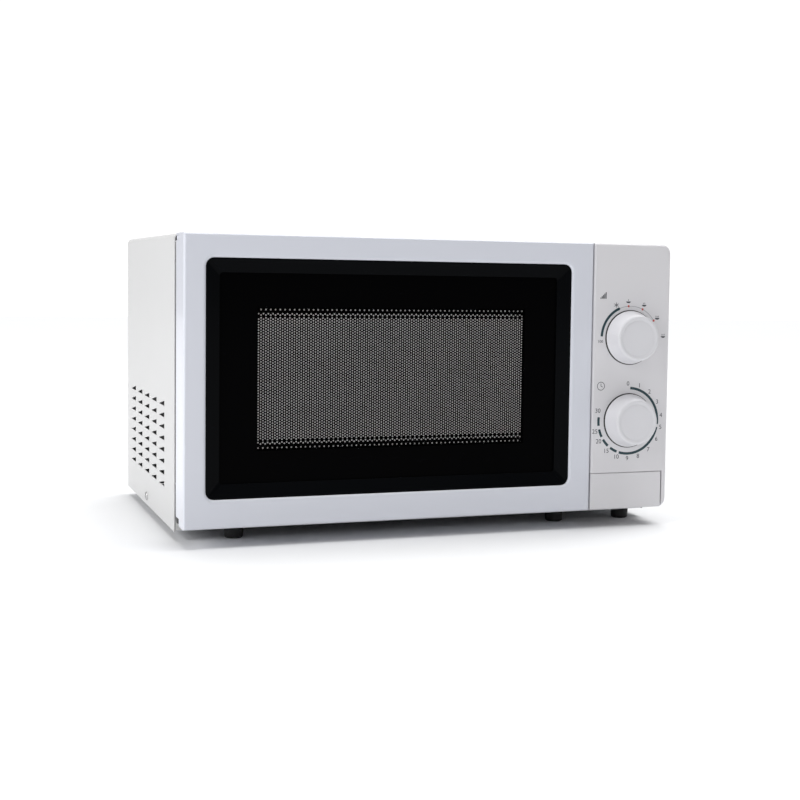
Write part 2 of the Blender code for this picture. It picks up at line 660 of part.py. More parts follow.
def make_turntable():
    """Motor under the cavity, three-lobed coupler, roller ring with its wheels, and the glass tray."""
    top = RECESS_Z - SHEET - GAP
    turn = (TURN_X, TURN_Y, 0)
    can = cylinder((TURN_X, TURN_Y, top - 0.0075), (0, 0, 1), 0.024, 0.015, segments=32)
    motor = piece("turntable_motor", can, "zinc")
    join(motor, box(TURN_X - 0.034, TURN_X + 0.034, TURN_Y - 0.006, TURN_Y + 0.006, top - 0.001, top - 0.0001))

    shaft_low = top + GAP
    shaft = cylinder((TURN_X, TURN_Y, (shaft_low + TRAY_Z) / 2), (0, 0, 1), 0.004, TRAY_Z - GAP - shaft_low)
    coupler = piece("turntable_coupler", shaft, "white_plastic", turn)
    lobe_low, lobe_high = RECESS_Z + 0.0045, TRAY_Z - 2 * GAP
    lobes = bmesh.new()
    middle = (TURN_X, TURN_Y, (lobe_low + lobe_high) / 2)
    cylinder(middle, (0, 0, 1), COUPLER_RADIUS - 0.004, lobe_high - lobe_low, bm=lobes)
    join(coupler, lobes)
    for i in range(3):
        arm = box(0, COUPLER_RADIUS, -0.003, 0.003, lobe_low + 0.0001, lobe_high - 0.0001)
        bmesh.ops.rotate(arm, matrix=Matrix.Rotation(math.tau * i / 3, 3, "Z"), verts=arm.verts)
        bmesh.ops.translate(arm, vec=turn, verts=arm.verts)
        join(coupler, arm)

    inner = TRACK_RADIUS - ROLLER_RADIUS / 2 - 0.0095
    half = 0.0028
    profile = [
        (inner + 0.006, AXLE_Z + half),
        (inner + 0.006, AXLE_Z - half),
        (inner, AXLE_Z - half),
        (inner, AXLE_Z + half),
    ]
    ring = turned("roller_ring", profile, turn, (0, 0, 1), "white_plastic", steps=48, ring=True)
    for i in range(3):
        angle = math.radians(90 + 120 * i)
        out = Vector((math.cos(angle), math.sin(angle), 0))
        start = inner + 0.003
        end = TRACK_RADIUS + 0.0045
        middle = Vector((TURN_X, TURN_Y, AXLE_Z)) + out * (start + end) / 2
        join(ring, cylinder(middle, out, 0.0016, end - start, segments=12))
        hub = Vector((TURN_X, TURN_Y, AXLE_Z)) + out * TRACK_RADIUS
        wheel_profile = [
            (ROLLER_RADIUS - 0.0008, 0.003),
            (ROLLER_RADIUS, 0.0022),
            (ROLLER_RADIUS, -0.0022),
            (ROLLER_RADIUS - 0.0008, -0.003),
            (0.0016 + RUNNING, -0.003),
            (0.0016 + RUNNING, 0.003),
        ]
        turned(f"roller_wheel_{i + 1}", wheel_profile, hub, out, "white_plastic", steps=20, ring=True)

    r = TRAY_RADIUS
    z = TRAY_Z
    t = TRAY_THICKNESS
    profile = [
        (0, z + t),
        (r - 0.014, z + t),
        (r - 0.005, z + TRAY_RIM),
        (r, z + TRAY_RIM),
        (r - 0.010, z),
        (0, z),
    ]
    turned("glass_tray", profile, turn, (0, 0, 1), "clear_glass", steps=64)


# ---------------------------------------------------------------- component bay behind the panel


def make_transformer():
    """Laminated core with two windows, and the windings around its middle limb."""
    x0, x1 = BAY_X0 + 0.0125, BAY_X0 + 0.1015
    y0, y1 = BODY_FRONT + 0.030, BODY_FRONT + 0.096
    z0, z1 = FLOOR, FLOOR + CORE_HEIGHT
    core = piece("transformer_core", box(x0, x1, y0, y1, z0, z1), "iron")
    third = (x1 - x0) / 6
    windows = box(x0 + third, x0 + 2 * third, y0 - 0.01, y1 + 0.01, z0 + 0.015, z1 - 0.015)
    box(x1 - 2 * third, x1 - third, y0 - 0.01, y1 + 0.01, z0 + 0.015, z1 - 0.015, windows)
    combine(core, windows)
    outer = rounded(
        x0 + third + 0.0005, x1 - third - 0.0005, y0 - 0.009, y1 + 0.009, z0 + 0.0155, z1 - 0.0155, 2, 0.004
    )
    windings = piece("transformer_windings", outer, "copper")
    inner = (x0 + 2 * third - 0.0005, x1 - 2 * third + 0.0005)
    combine(windings, box(*inner, y0 - 0.0005, y1 + 0.0005, z0, z1))


def make_high_voltage():
    """Oval capacitor can with two terminals, its clamp's screw tab, and the diode beside it."""
    y0 = BACK - 0.111
    x0, x1 = BAY_X0 + 0.0175, BAY_X0 + 0.0975
    can = rounded(x0, x1, y0, y0 + 0.032, FLOOR, FLOOR + 0.050, 2, 0.014, 5)
    capacitor = piece("hv_capacitor", can, "aluminium")
    spades = bmesh.new()
    for x in (x0 + 0.025, x1 - 0.031):
        box(x, x + 0.006, y0 + 0.0155, y0 + 0.0165, FLOOR + 0.049, FLOOR + 0.058, spades)
    join(capacitor, spades)
    body = cylinder((x0 + 0.030, y0 + 0.041, FLOOR + 0.0045), (1, 0, 0), 0.004, 0.022, segments=16)
    piece("hv_diode", body, "black_matte")


def make_fan():
    """Shroud plate with its round duct, motor in front of it, and the five-bladed fan in the duct."""
    y = BASE_BACK - 0.0250
    z = FAN_Z
    half = FAN_RADIUS + 0.010
    shroud = piece("fan_shroud", box(FAN_X - half, FAN_X + half, y, y + 0.002, z - half, z + half), "zinc")
    duct = FAN_RADIUS + 0.003
    join(shroud, cylinder((FAN_X, y + 0.0102, z), (0, 1, 0), duct + 0.0016, 0.018, segments=40))
    combine(shroud, cylinder((FAN_X, y + 0.010, z), (0, 1, 0), duct, 0.040, segments=40))

    depth = 0.024
    motor_y = y - 0.0035
    core = box(FAN_X - 0.018, FAN_X + 0.018, motor_y - depth, motor_y, z - 0.021, z + 0.015)
    motor = piece("fan_motor", core, "iron")
    coil_box = rounded(
        FAN_X - 0.012, FAN_X + 0.012, motor_y - depth - 0.005, motor_y + 0.0025, z - 0.027, z - 0.012, 1, 0.003
    )
    join(motor, coil_box)
    combine(motor, cylinder((FAN_X, motor_y, z), (0, 1, 0), 0.0015 + RUNNING, 0.020, segments=16))

    blade_y = y + 0.010
    hub = cylinder((FAN_X, blade_y, z), (0, 1, 0), 0.010, 0.012)
    fan = piece("fan_blade", hub, "grey_plastic", (FAN_X, blade_y, z))
    shaft_y = (motor_y - 0.008 + blade_y) / 2
    join(fan, cylinder((FAN_X, shaft_y, z), (0, 1, 0), 0.0015, blade_y - motor_y + 0.008, segments=12))
    blades = bmesh.new()
    for i in range(5):
        blade = box(0.008, FAN_RADIUS, -0.0007, 0.0007, -0.011, 0.011)
        bmesh.ops.rotate(blade, matrix=Matrix.Rotation(math.radians(62), 3, "X"), verts=blade.verts)
        bmesh.ops.rotate(blade, matrix=Matrix.Rotation(math.tau * i / 5, 3, "Y"), verts=blade.verts)
        bmesh.ops.translate(blade, vec=(FAN_X, blade_y, z), verts=blade.verts)
        copy = bpy.data.meshes.new("blade")
        blade.to_mesh(copy)
        blade.free()
        blades.from_mesh(copy)
    join(fan, blades)


def make_noise_filter():
    """Mains filter board under the cabinet's top, with its choke and fuse."""
    x0, x1 = BAY_X0 + 0.010, BAY_X1 - 0.014
    y0 = BACK - 0.111
    z = HEIGHT - 0.030
    board = piece("noise_filter", box(x0, x1, y0, y0 + 0.048, z, z + 0.0016), "circuit_board")
    join(board, cylinder((x0 + 0.024, y0 + 0.024, z + 0.0065), (0, 0, 1), 0.012, 0.011))
    join(board, box(x0 + 0.048, x0 + 0.062, y0 + 0.008, y0 + 0.034, z + 0.001, z + 0.013))
    join(board, cylinder((x0 + 0.074, y0 + 0.024, z + 0.004), (0, 1, 0), 0.003, 0.022, segments=12))


# ---------------------------------------------------------------- control panel and what it works


def make_panel():
    """Moulded panel shell, open at the back, with the push bar's recess and a hole for each shaft."""
    back = BODY_FRONT
    bm = box(PANEL_LEFT, RIGHT, FRONT, back, DOOR_LOW, DOOR_HIGH)
    fillet(bm, PANEL_CORNER, lambda a, b: near(a.x, RIGHT) and near(b.x, RIGHT) and near(a.z, b.z), 5)
    fillet(bm, EDGE_ROUND, lambda a, b: near(a.y, FRONT) and near(b.y, FRONT), 3)
    panel = piece("control_panel", bm, "panel_plastic")
    inside = rounded(
        PANEL_LEFT + WALL, RIGHT - WALL, FRONT + WALL, back + 0.01, DOOR_LOW + WALL, DOOR_HIGH - WALL,
        1, PANEL_CORNER - WALL,
    )
    combine(panel, inside)
    seat_y = FRONT + BUTTON_DEPTH + 0.0105
    seat = box(SPRING_X - 0.008, SPRING_X + 0.008, seat_y, seat_y + 0.003, DOOR_LOW + 0.001, SPRING_Z + 0.008)
    join(panel, seat)
    bar_x1 = BUTTON_RIGHT + 2 * GAP
    recess_y = FRONT + BUTTON_DEPTH + BUTTON_TRAVEL + 0.002
    combine(panel, box(PANEL_LEFT - 0.01, bar_x1, FRONT - 0.01, recess_y, DOOR_LOW - 0.01, BUTTON_TOP + GAP))
    holes = bmesh.new()
    for z in (TIMER_Z, POWER_Z):
        cylinder((KNOB_X, FRONT, z), (0, 1, 0), SHAFT_RADIUS + 3 * RUNNING, 0.010, bm=holes, segments=20)
    combine(panel, holes)


def make_button():
    """Push bar that opens the door, its push rod, and the coil spring that returns it."""
    y1 = FRONT + BUTTON_DEPTH
    bm = box(BUTTON_LEFT, BUTTON_RIGHT, FRONT, y1, DOOR_LOW + GAP, BUTTON_TOP)
    fillet(bm, 0.0012, lambda a, b: near(a.y, FRONT) and near(b.y, FRONT), 2)
    button = piece("door_release_button", bm, "panel_plastic")
    rod_x = BUTTON_LEFT + 0.0065
    rod = box(rod_x, rod_x + 0.005, y1 - 0.001, BODY_FRONT - 0.0012, PUSH_Z - 0.003, PUSH_Z + 0.003)
    join(button, rod)
    join(button, cylinder((SPRING_X, y1 + 0.001, SPRING_Z), (0, 1, 0), 0.0022, 0.004, segments=16))
    seat_y = FRONT + BUTTON_DEPTH + 0.0105
    coil("button_spring", (SPRING_X, y1 + GAP, SPRING_Z), (0, 1, 0), 0.0032, 0.0004,
         seat_y - y1 - 2 * GAP, 4, "steel")


def make_release_lever():
    """Bell crank behind the panel: the push rod swings its lower arm back and its upper arm rises."""
    x0 = HOOK_X - 0.003
    rod_x = BUTTON_LEFT + 0.0065
    x1 = rod_x + 0.012
    tube = cylinder(((x0 + x1) / 2, LEVER_Y, LEVER_Z), (1, 0, 0), 0.0032, x1 - x0, segments=20)
    lever = piece("release_lever", tube, "white_plastic", ((x0 + x1) / 2, LEVER_Y, LEVER_Z))
    arm_y = BODY_FRONT + 0.0032
    lower = (LEVER_Z - 0.0190, LEVER_Z - 0.001)
    join(lever, box(rod_x - 0.0025, x1 - 0.002, arm_y, arm_y + 0.0025, *lower))
    tip_y = LEVER_Y + 0.0095
    join(lever, box(x0 + 0.0002, x0 + 0.006, LEVER_Y, tip_y, LEVER_Z - 0.001, LEVER_Z + 0.0015))
    post = box(x0 + 0.0003, x0 + 0.0059, tip_y - 0.0025, tip_y - 0.0001, LEVER_Z + 0.001, LEVER_Z + 0.0105)
    join(lever, post)
    bore = cylinder(((x0 + x1) / 2, LEVER_Y, LEVER_Z), (1, 0, 0), 0.0014 + RUNNING, 0.1, segments=16)
    combine(lever, bore)


def make_latch_board():
    """Board behind the front plate: a catch under each hook, the lever's pivot and three switches."""
    x0 = HOOK_X + HOOK_THICKNESS + 0.0045
    y0 = BODY_FRONT + GAP
    low = FLOOR + 0.0005
    high = HEIGHT - 0.030
    foot = box(x0, x0 + 0.003, y0, y0 + 0.0190, low, FLOOR + CORE_HEIGHT + 0.006)
    board = piece("latch_board", foot, "white_plastic")
    join(board, box(x0, x0 + 0.003, y0, y0 + 0.0400, FLOOR + CORE_HEIGHT + 0.004, high))
    window = box(x0 - 0.01, x0 + 0.01, y0 - 0.001, LEVER_Y + 0.0042, LEVER_Z - 0.021, LEVER_Z + 0.0042)
    combine(board, window)
    for hook_low in hook_heights():
        catch = box(HOOK_X - 0.006, x0 + 0.001, y0 + 0.0015, y0 + 0.0055, hook_low - 0.0045, hook_low - 0.0015)
        join(board, catch)
    pivot_x = (HOOK_X - 0.005, BUTTON_LEFT + 0.021)
    middle = (sum(pivot_x) / 2, LEVER_Y, LEVER_Z)
    pin = cylinder(middle, (1, 0, 0), 0.0014, pivot_x[1] - pivot_x[0], segments=16)
    join(board, pin)
    ear_x = pivot_x[1] - 0.002
    ear = box(ear_x, ear_x + 0.002, LEVER_Y - 0.003, y0 + 0.0140, LEVER_Z - 0.003, LEVER_Z + 0.003)
    join(board, ear)
    brace = box(x0 + 0.0005, ear_x + 0.0019, y0 + 0.0115, y0 + 0.0139, LEVER_Z - 0.0029, LEVER_Z + 0.0029)
    join(board, brace)
    looks = {
        "switch_primary": "red_plastic",
        "switch_secondary": "black_matte",
        "switch_monitor": "grey_plastic",
    }
    for i, (name, look) in enumerate(looks.items()):
        z = hook_heights()[1] + 0.002 - i * SWITCH_PITCH
        y = y0 + 0.016
        x1 = x0 - GAP
        switch = piece(name, box(x1 - 0.0064, x1, y, y + 0.016, z - 0.014, z + 0.014), look)
        terminals = bmesh.new()
        for offset in (-0.009, 0.0, 0.009):
            box(x1 - 0.0036, x1 - 0.0030, y + 0.015, y + 0.022, z + offset, z + offset + 0.0035, terminals)
        join(switch, terminals)
        join(switch, box(x1 - 0.0045, x1 - 0.0020, y - 0.0015, y + 0.001, z - 0.002, z + 0.001))


def make_knobs():
    """Two knobs on their shafts, the unit that both shafts turn in, and the bell on its back."""
    back = FRONT - 2 * GAP
    seat = KNOB_OUT - 2 * GAP
    for name, z in (("power", POWER_Z), ("timer", TIMER_Z)):
        profile = [
            (0, seat),
            (KNOB_FACE, seat),
            (KNOB_FACE + 0.0012, seat - 0.0004),
            (KNOB_RADIUS - KNOB_TAPER, seat - 0.0030),
            (KNOB_RADIUS, 0.0012),
            (KNOB_RADIUS - 0.0004, 0),
            (KNOB_RADIUS - 0.0030, 0),
            (KNOB_RADIUS - 0.0030, 0.0040),
            (0.0080, 0.0040),
            (0.0080, 0),
            (SHAFT_RADIUS + RUNNING / 2, 0),
            (SHAFT_RADIUS + RUNNING / 2, 0.0100),
            (0, 0.0100),
        ]
        turned(f"{name}_knob", profile, (KNOB_X, back, z), (0, -1, 0), "panel_plastic", steps=36)
        end = back - 0.0095
        start = FRONT + WALL + 0.0150
        middle = (KNOB_X, (start + end) / 2, z)
        shaft = cylinder(middle, (0, 1, 0), SHAFT_RADIUS, start - end, segments=20)
        piece(f"{name}_shaft", shaft, "brass", middle)
    y0 = FRONT + WALL + 0.0010
    y1 = y0 + 0.044
    low, high = TIMER_Z - 0.0195, POWER_Z + 0.0195
    unit = piece("timer_unit", box(KNOB_X - 0.023, KNOB_X + 0.023, y0, y1, low, high), "grey_plastic")
    bores = bmesh.new()
    for z in (TIMER_Z, POWER_Z):
        cylinder((KNOB_X, y0 + 0.005, z), (0, 1, 0), SHAFT_RADIUS + RUNNING, 0.020, bm=bores, segments=20)
    combine(unit, bores)
    middle_z = (low + high) / 2
    profile = [
        (0, 0.0120),
        (0.0080, 0.0115),
        (0.0145, 0.0085),
        (0.0175, 0.0045),
        (0.0180, 0.0020),
        (0.0172, 0.0020),
        (0.0168, 0.0042),
        (0.0139, 0.0078),
        (0.0040, 0.0108),
        (0.0040, GAP),
        (0, GAP),
    ]
    turned("timer_bell", profile, (KNOB_X, y1, middle_z), (0, 1, 0), "steel", steps=28)


# ---------------------------------------------------------------- door


def make_door_frame():
    """Moulded frame around the window, open at the back, with a notch and a bored corner at each hinge."""
    bm = box(DOOR_LEFT, DOOR_RIGHT, FRONT, DOOR_BACK, DOOR_LOW, DOOR_HIGH)
    fillet(bm, DOOR_CORNER, lambda a, b: near(a.x, DOOR_LEFT) and near(b.x, DOOR_LEFT)
           and near(a.y, DOOR_BACK) and near(b.y, DOOR_BACK), 5)
    fillet(bm, EDGE_ROUND, lambda a, b: near(a.y, FRONT) and near(b.y, FRONT), 3)
    frame = piece("door_frame", bm, "door_plastic", HINGE)
    corner_x = HINGE_X + 0.0095
    corner_z = HINGE_NOTCH_HEIGHT + HINGE_BLOCK
    high, low = DOOR_HIGH - WALL, DOOR_LOW + WALL
    combine(frame, box(corner_x, DOOR_RIGHT - WALL, FRONT + WALL, DOOR_BACK + 0.01, low, high))
    side = box(DOOR_LEFT + WALL, corner_x + 0.001, FRONT + WALL, DOOR_BACK + 0.01,
               DOOR_LOW + corner_z, DOOR_HIGH - corner_z)
    combine(frame, side)
    combine(frame, window_cutter())
    notch_x = DOOR_LEFT + HINGE_NOTCH_WIDTH
    notches = bmesh.new()
    for z0, z1 in ((DOOR_LOW - 0.01, DOOR_LOW + HINGE_NOTCH_HEIGHT),
                   (DOOR_HIGH - HINGE_NOTCH_HEIGHT, DOOR_HIGH + 0.01)):
        box(DOOR_LEFT - 0.01, notch_x, DOOR_BACK - HINGE_NOTCH_DEPTH, DOOR_BACK + 0.01, z0, z1, notches)
    combine(frame, notches)
    bores = bmesh.new()
    for sign in (-1, 1):
        z = bracket_z(sign) - sign * 0.0075
        cylinder((HINGE_X, HINGE_Y, z), (0, 0, 1), HINGE_PIN_RADIUS + RUNNING, 0.0130, bm=bores, segments=20)
    combine(frame, bores)


def window_cutter():
    """The window's opening, flared at the front to leave a bevelled edge."""
    flare = 0.0016
    y_mid = FRONT + 0.0016
    bm = rounded(WINDOW_X0, WINDOW_X1, y_mid, FRONT + 0.02, WINDOW_Z0, WINDOW_Z1, 1, WINDOW_CORNER, 5)
    front = [f for f in bm.faces if f.normal.y < -0.9]
    made = bmesh.ops.extrude_face_region(bm, geom=front)["geom"]
    verts = [g for g in made if isinstance(g, bmesh.types.BMVert)]
    centre_x, centre_z = (WINDOW_X0 + WINDOW_X1) / 2, (WINDOW_Z0 + WINDOW_Z1) / 2
    grow_x = 1 + 2 * flare / (WINDOW_X1 - WINDOW_X0)
    grow_z = 1 + 2 * flare / (WINDOW_Z1 - WINDOW_Z0)
    bmesh.ops.delete(bm, geom=front, context="FACES")
    for v in verts:
        v.co.x = centre_x + (v.co.x - centre_x) * grow_x
        v.co.z = centre_z + (v.co.z - centre_z) * grow_z
        v.co.y -= 2 * flare
    return bm


def make_window():
    """Sloping black border, outer glass, perforated steel screen in its pan, and the inner film."""
    bm = rounded(WINDOW_X0 + GAP, WINDOW_X1 - GAP, BEZEL_FRONT, GLASS_FRONT - GAP,
                 WINDOW_Z0 + GAP, WINDOW_Z1 - GAP, 1, WINDOW_CORNER - GAP, 5)
    bezel = piece("door_bezel", bm, "black_gloss", HINGE)
    combine(bezel, bezel_cutter())
    x0, x1 = WINDOW_X0 + BEZEL_WIDTH - GLASS_UNDER_BEZEL, WINDOW_X1 - BEZEL_WIDTH + GLASS_UNDER_BEZEL
    z0, z1 = WINDOW_Z0 + BEZEL_WIDTH - GLASS_UNDER_BEZEL, WINDOW_Z1 - BEZEL_WIDTH + GLASS_UNDER_BEZEL
    pane = rounded(x0, x1, GLASS_FRONT, GLASS_FRONT + GLASS_THICKNESS, z0, z1, 1, 0.005)
    piece("door_glass", pane, "glass", HINGE)

    x0, x1 = HINGE_X + 0.0125, HOOK_X - 0.0055
    z0, z1 = DOOR_LOW + 0.0175, DOOR_HIGH - 0.0125
    pan = rounded(x0, x1, SCREEN_FRONT, DOOR_BACK - 0.0040, z0, z1, 1, 0.006)
    screen = piece("door_screen", pan, "screen_paint", HINGE)
    inset = 0.001
    combine(screen, rounded(x0 + inset, x1 - inset, SCREEN_FRONT + inset, DOOR_BACK + 0.01,
                            z0 + inset, z1 - inset, 1, 0.005))
    y = SCREEN_FRONT + 0.001 + GAP
    edge = 0.001 + GAP
    film = rounded(x0 + edge, x1 - edge, y, y + 0.0004, z0 + edge, z1 - edge, 1, 0.0045)
    piece("door_inner_film", film, "film", HINGE)


def bezel_cutter():
    """Leaves a border that slopes back from the window's edge to the flat glass."""
    x0, x1 = WINDOW_X0 + BEZEL_WIDTH, WINDOW_X1 - BEZEL_WIDTH
    z0, z1 = WINDOW_Z0 + BEZEL_WIDTH, WINDOW_Z1 - BEZEL_WIDTH
    y_low = BEZEL_FRONT + BEZEL_DROP
    bm = rounded(x0, x1, y_low, GLASS_FRONT + 0.01, z0, z1, 1, 0.003, 5)
    front = [f for f in bm.faces if f.normal.y < -0.9]
    made = bmesh.ops.extrude_face_region(bm, geom=front)["geom"]
    verts = [g for g in made if isinstance(g, bmesh.types.BMVert)]
    bmesh.ops.delete(bm, geom=front, context="FACES")
    grow = BEZEL_WIDTH - 0.0008
    centre_x, centre_z = (x0 + x1) / 2, (z0 + z1) / 2
    for v in verts:
        v.co.x = centre_x + (v.co.x - centre_x) * (1 + 2 * grow / (x1 - x0))
        v.co.z = centre_z + (v.co.z - centre_z) * (1 + 2 * grow / (z1 - z0))
        v.co.y = BEZEL_FRONT - 0.0002
    return bm


def make_choke_cover():
    """Plastic ring that closes the door's back around the screen, with a slot for each hook."""
    y0 = DOOR_BACK - 0.0028
    y1 = DOOR_BACK - 0.0004
    edge = WALL + GAP
    block = HINGE_X + 0.0095 + GAP
    bm = box(block, DOOR_RIGHT - edge, y0, y1, DOOR_LOW + edge, DOOR_HIGH - edge)
    cover = piece("choke_cover", bm, "grey_plastic", HINGE)
    window = rounded(HINGE_X + 0.0260, HOOK_X - 0.0190, y0 - 0.01, y1 + 0.01,
                     DOOR_LOW + 0.031, DOOR_HIGH - 0.026, 1, 0.006)
    combine(cover, window)
    slots = bmesh.new()
    for low in hook_heights():
        box(HOOK_X - 0.001, HOOK_X + HOOK_THICKNESS + 0.001, y0 - 0.01, y1 + 0.01, low - 0.001, low + 0.0175, slots)
    combine(cover, slots)


def make_latch():
    """Latch bar inside the door with two hooks, and the spring that pulls it down."""
    x0, x1 = HOOK_X, HOOK_X + HOOK_THICKNESS
    lows = hook_heights()
    bar_y = (DOOR_BACK - 0.021, DOOR_BACK - 0.011)
    bar = box(x0, x1, *bar_y, lows[0] - 0.004, lows[1] + 0.014)
    latch = piece("door_latch", bar, "white_plastic", (HOOK_X, HINGE_Y, MIDDLE_Z))
    hooks = bmesh.new()
    for low in lows:
        box(x0, x1, bar_y[0] + 0.002, HOOK_TIP, low + 0.006, low + 0.012, hooks)
    join(latch, hooks)
    lips = bmesh.new()
    for low in lows:
        box(x0 + 0.0001, x1 - 0.0001, HOOK_TIP - 0.0032, HOOK_TIP - 0.0001, low, low + 0.007, lips)
    join(latch, lips)
    spring_z = DOOR_LOW + WALL + GAP
    coil("latch_spring", ((x0 + x1) / 2, (bar_y[0] + bar_y[1]) / 2, spring_z), (0, 0, 1), 0.0026, 0.0004,
         lows[0] - 0.004 - GAP - spring_z, 6, "steel")


make_wrapper()
make_base()
make_feet()
make_front_plate()
make_hinges()
make_rear_panel()
make_gland()
make_side_screws()
make_cavity()
make_waveguide()
make_magnetron()
make_lamp()
make_turntable()
make_transformer()
make_high_voltage()
make_fan()
make_noise_filter()
make_panel()
make_button()
make_release_lever()
make_latch_board()
make_knobs()
make_door_frame()
make_window()
make_choke_cover()
make_latch()
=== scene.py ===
# %% [markdown]
# # A countertop microwave oven
# This lesson dresses a CAD model of a small white microwave oven with a swing door, a dark window and two
# turning knobs. The CAD model is loaded first as a fixed frame. The visible pieces are then built on it, and
# nearly all of them take their place from the CAD's own sizes. All lengths are in metres: X to the right, Y
# to the back, Z up.

# %% Load the frame
import json
import math

import bmesh
import bpy
from mathutils import Matrix, Vector


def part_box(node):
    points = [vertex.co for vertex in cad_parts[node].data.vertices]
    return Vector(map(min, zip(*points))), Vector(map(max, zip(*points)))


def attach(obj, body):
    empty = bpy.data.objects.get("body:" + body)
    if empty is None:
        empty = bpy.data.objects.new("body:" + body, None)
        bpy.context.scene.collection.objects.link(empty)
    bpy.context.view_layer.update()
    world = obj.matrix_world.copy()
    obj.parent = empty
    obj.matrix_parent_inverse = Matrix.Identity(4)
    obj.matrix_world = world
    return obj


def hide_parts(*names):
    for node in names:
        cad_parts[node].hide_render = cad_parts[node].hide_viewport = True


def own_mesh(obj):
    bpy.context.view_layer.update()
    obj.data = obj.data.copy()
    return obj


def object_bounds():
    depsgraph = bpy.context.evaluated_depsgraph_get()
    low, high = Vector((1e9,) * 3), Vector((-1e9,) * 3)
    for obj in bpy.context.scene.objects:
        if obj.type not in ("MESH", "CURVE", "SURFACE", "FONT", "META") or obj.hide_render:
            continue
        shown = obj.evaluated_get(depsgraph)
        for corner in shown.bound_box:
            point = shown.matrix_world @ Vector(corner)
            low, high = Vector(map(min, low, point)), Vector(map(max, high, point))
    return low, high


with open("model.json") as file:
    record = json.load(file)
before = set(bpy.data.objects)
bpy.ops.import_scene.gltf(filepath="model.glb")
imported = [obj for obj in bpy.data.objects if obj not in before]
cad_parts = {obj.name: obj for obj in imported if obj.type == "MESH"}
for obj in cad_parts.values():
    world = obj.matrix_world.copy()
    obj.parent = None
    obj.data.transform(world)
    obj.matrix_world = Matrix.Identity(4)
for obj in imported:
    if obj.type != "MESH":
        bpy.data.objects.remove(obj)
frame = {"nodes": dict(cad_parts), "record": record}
cad_low, cad_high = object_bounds()
scene = bpy.context.scene
print("CAD box, mm:", [round(1000 * v, 1) for v in (*cad_low, *cad_high)])

# %% [markdown]
# ## Camera
# A product camera stands to the left of the oven and a little above its middle, so the front and the left
# side both show. Its direction is built from three angles: yaw round the vertical, pitch down and a slight
# roll. Building the three axes by hand, as here, shows what a camera matrix is: its columns are right, up
# and backwards.

# %% The camera
YAW, PITCH, ROLL = math.radians(22.31), math.radians(3.77), math.radians(0.94)
level_right = Vector((math.cos(YAW), -math.sin(YAW), 0))
forward = Vector((math.sin(YAW) * math.cos(PITCH), math.cos(YAW) * math.cos(PITCH), -math.sin(PITCH)))
level_up = level_right.cross(forward)
right = math.cos(ROLL) * level_right + math.sin(ROLL) * level_up
up = math.cos(ROLL) * level_up - math.sin(ROLL) * level_right

lens = bpy.data.cameras.new("product_camera")
lens.sensor_width = 36
lens.lens = 65.13
lens.shift_x = -0.1322
lens.shift_y = -0.0336
lens.dof.use_dof = False
camera = bpy.data.objects.new("product_camera", lens)
scene.collection.objects.link(camera)
columns = Matrix((right, up, -forward)).transposed().to_4x4()
camera.matrix_world = Matrix.Translation((-0.4204, -1.3213, 0.2246)) @ columns
scene.camera = camera
print("camera", [round(v, 3) for v in camera.location], "lens", lens.lens)

# %% [markdown]
# ## Studio
# White goods are lit with big soft lights, so edges turn slowly from light to shade. The oven stands on a
# pale floor under a pale sky. A broad overhead light whitens the floor and the top and leaves a soft
# shadow, a large lamp on the left lights that side, and a weak one fills the front. What the camera sees
# behind the oven is a little brighter than the sky that lights it, so the background stays plain white
# without washing out the white mouldings.

# %% The floor
plane = bpy.data.meshes.new("floor")
REACH = 6.0
floor_corners = [(-REACH, -REACH, 0), (REACH, -REACH, 0), (REACH, REACH, 0), (-REACH, REACH, 0)]
plane.from_pydata(floor_corners, [], [(0, 1, 2, 3)])
floor = bpy.data.objects.new("floor", plane)
scene.collection.objects.link(floor)
floor_paint = bpy.data.materials.new("studio_floor")
floor_paint.use_nodes = True
floor_shader = floor_paint.node_tree.nodes["Principled BSDF"]
floor_shader.inputs["Base Color"].default_value = (0.86, 0.865, 0.875, 1)
floor_shader.inputs["Roughness"].default_value = 0.9
floor_shader.inputs["Specular IOR Level"].default_value = 0.1
plane.materials.append(floor_paint)

# %% The sky and the lamps
sky = bpy.data.worlds.new("studio_sky")
sky.use_nodes = True
behind = sky.node_tree.nodes["Background"]
behind.inputs["Color"].default_value = (1, 1, 1, 1)
behind.inputs["Strength"].default_value = 1.1
around = sky.node_tree.nodes.new("ShaderNodeBackground")
around.inputs["Color"].default_value = (1, 1, 1, 1)
around.inputs["Strength"].default_value = 0.305
seen = sky.node_tree.nodes.new("ShaderNodeLightPath")
choice = sky.node_tree.nodes.new("ShaderNodeMixShader")
sky.node_tree.links.new(seen.outputs["Is Camera Ray"], choice.inputs[0])
sky.node_tree.links.new(around.outputs[0], choice.inputs[1])
sky.node_tree.links.new(behind.outputs[0], choice.inputs[2])
sky.node_tree.links.new(choice.outputs[0], sky.node_tree.nodes["World Output"].inputs["Surface"])
scene.world = sky
scene.view_settings.view_transform = "Standard"
middle = (cad_low + cad_high) / 2


def aimed(name, lamp, place):
    """A lamp at a place, aimed at the middle of the oven."""
    holder = bpy.data.objects.new(name, lamp)
    scene.collection.objects.link(holder)
    holder.location = place
    holder.rotation_euler = (middle - Vector(place)).to_track_quat("-Z", "Y").to_euler()
    return holder


def area_lamp(name, place, width, height, power):
    """A rectangular soft light."""
    lamp = bpy.data.lights.new(name, "AREA")
    lamp.shape = "RECTANGLE"
    lamp.size = width
    lamp.size_y = height
    lamp.energy = power
    return aimed(name, lamp, place)


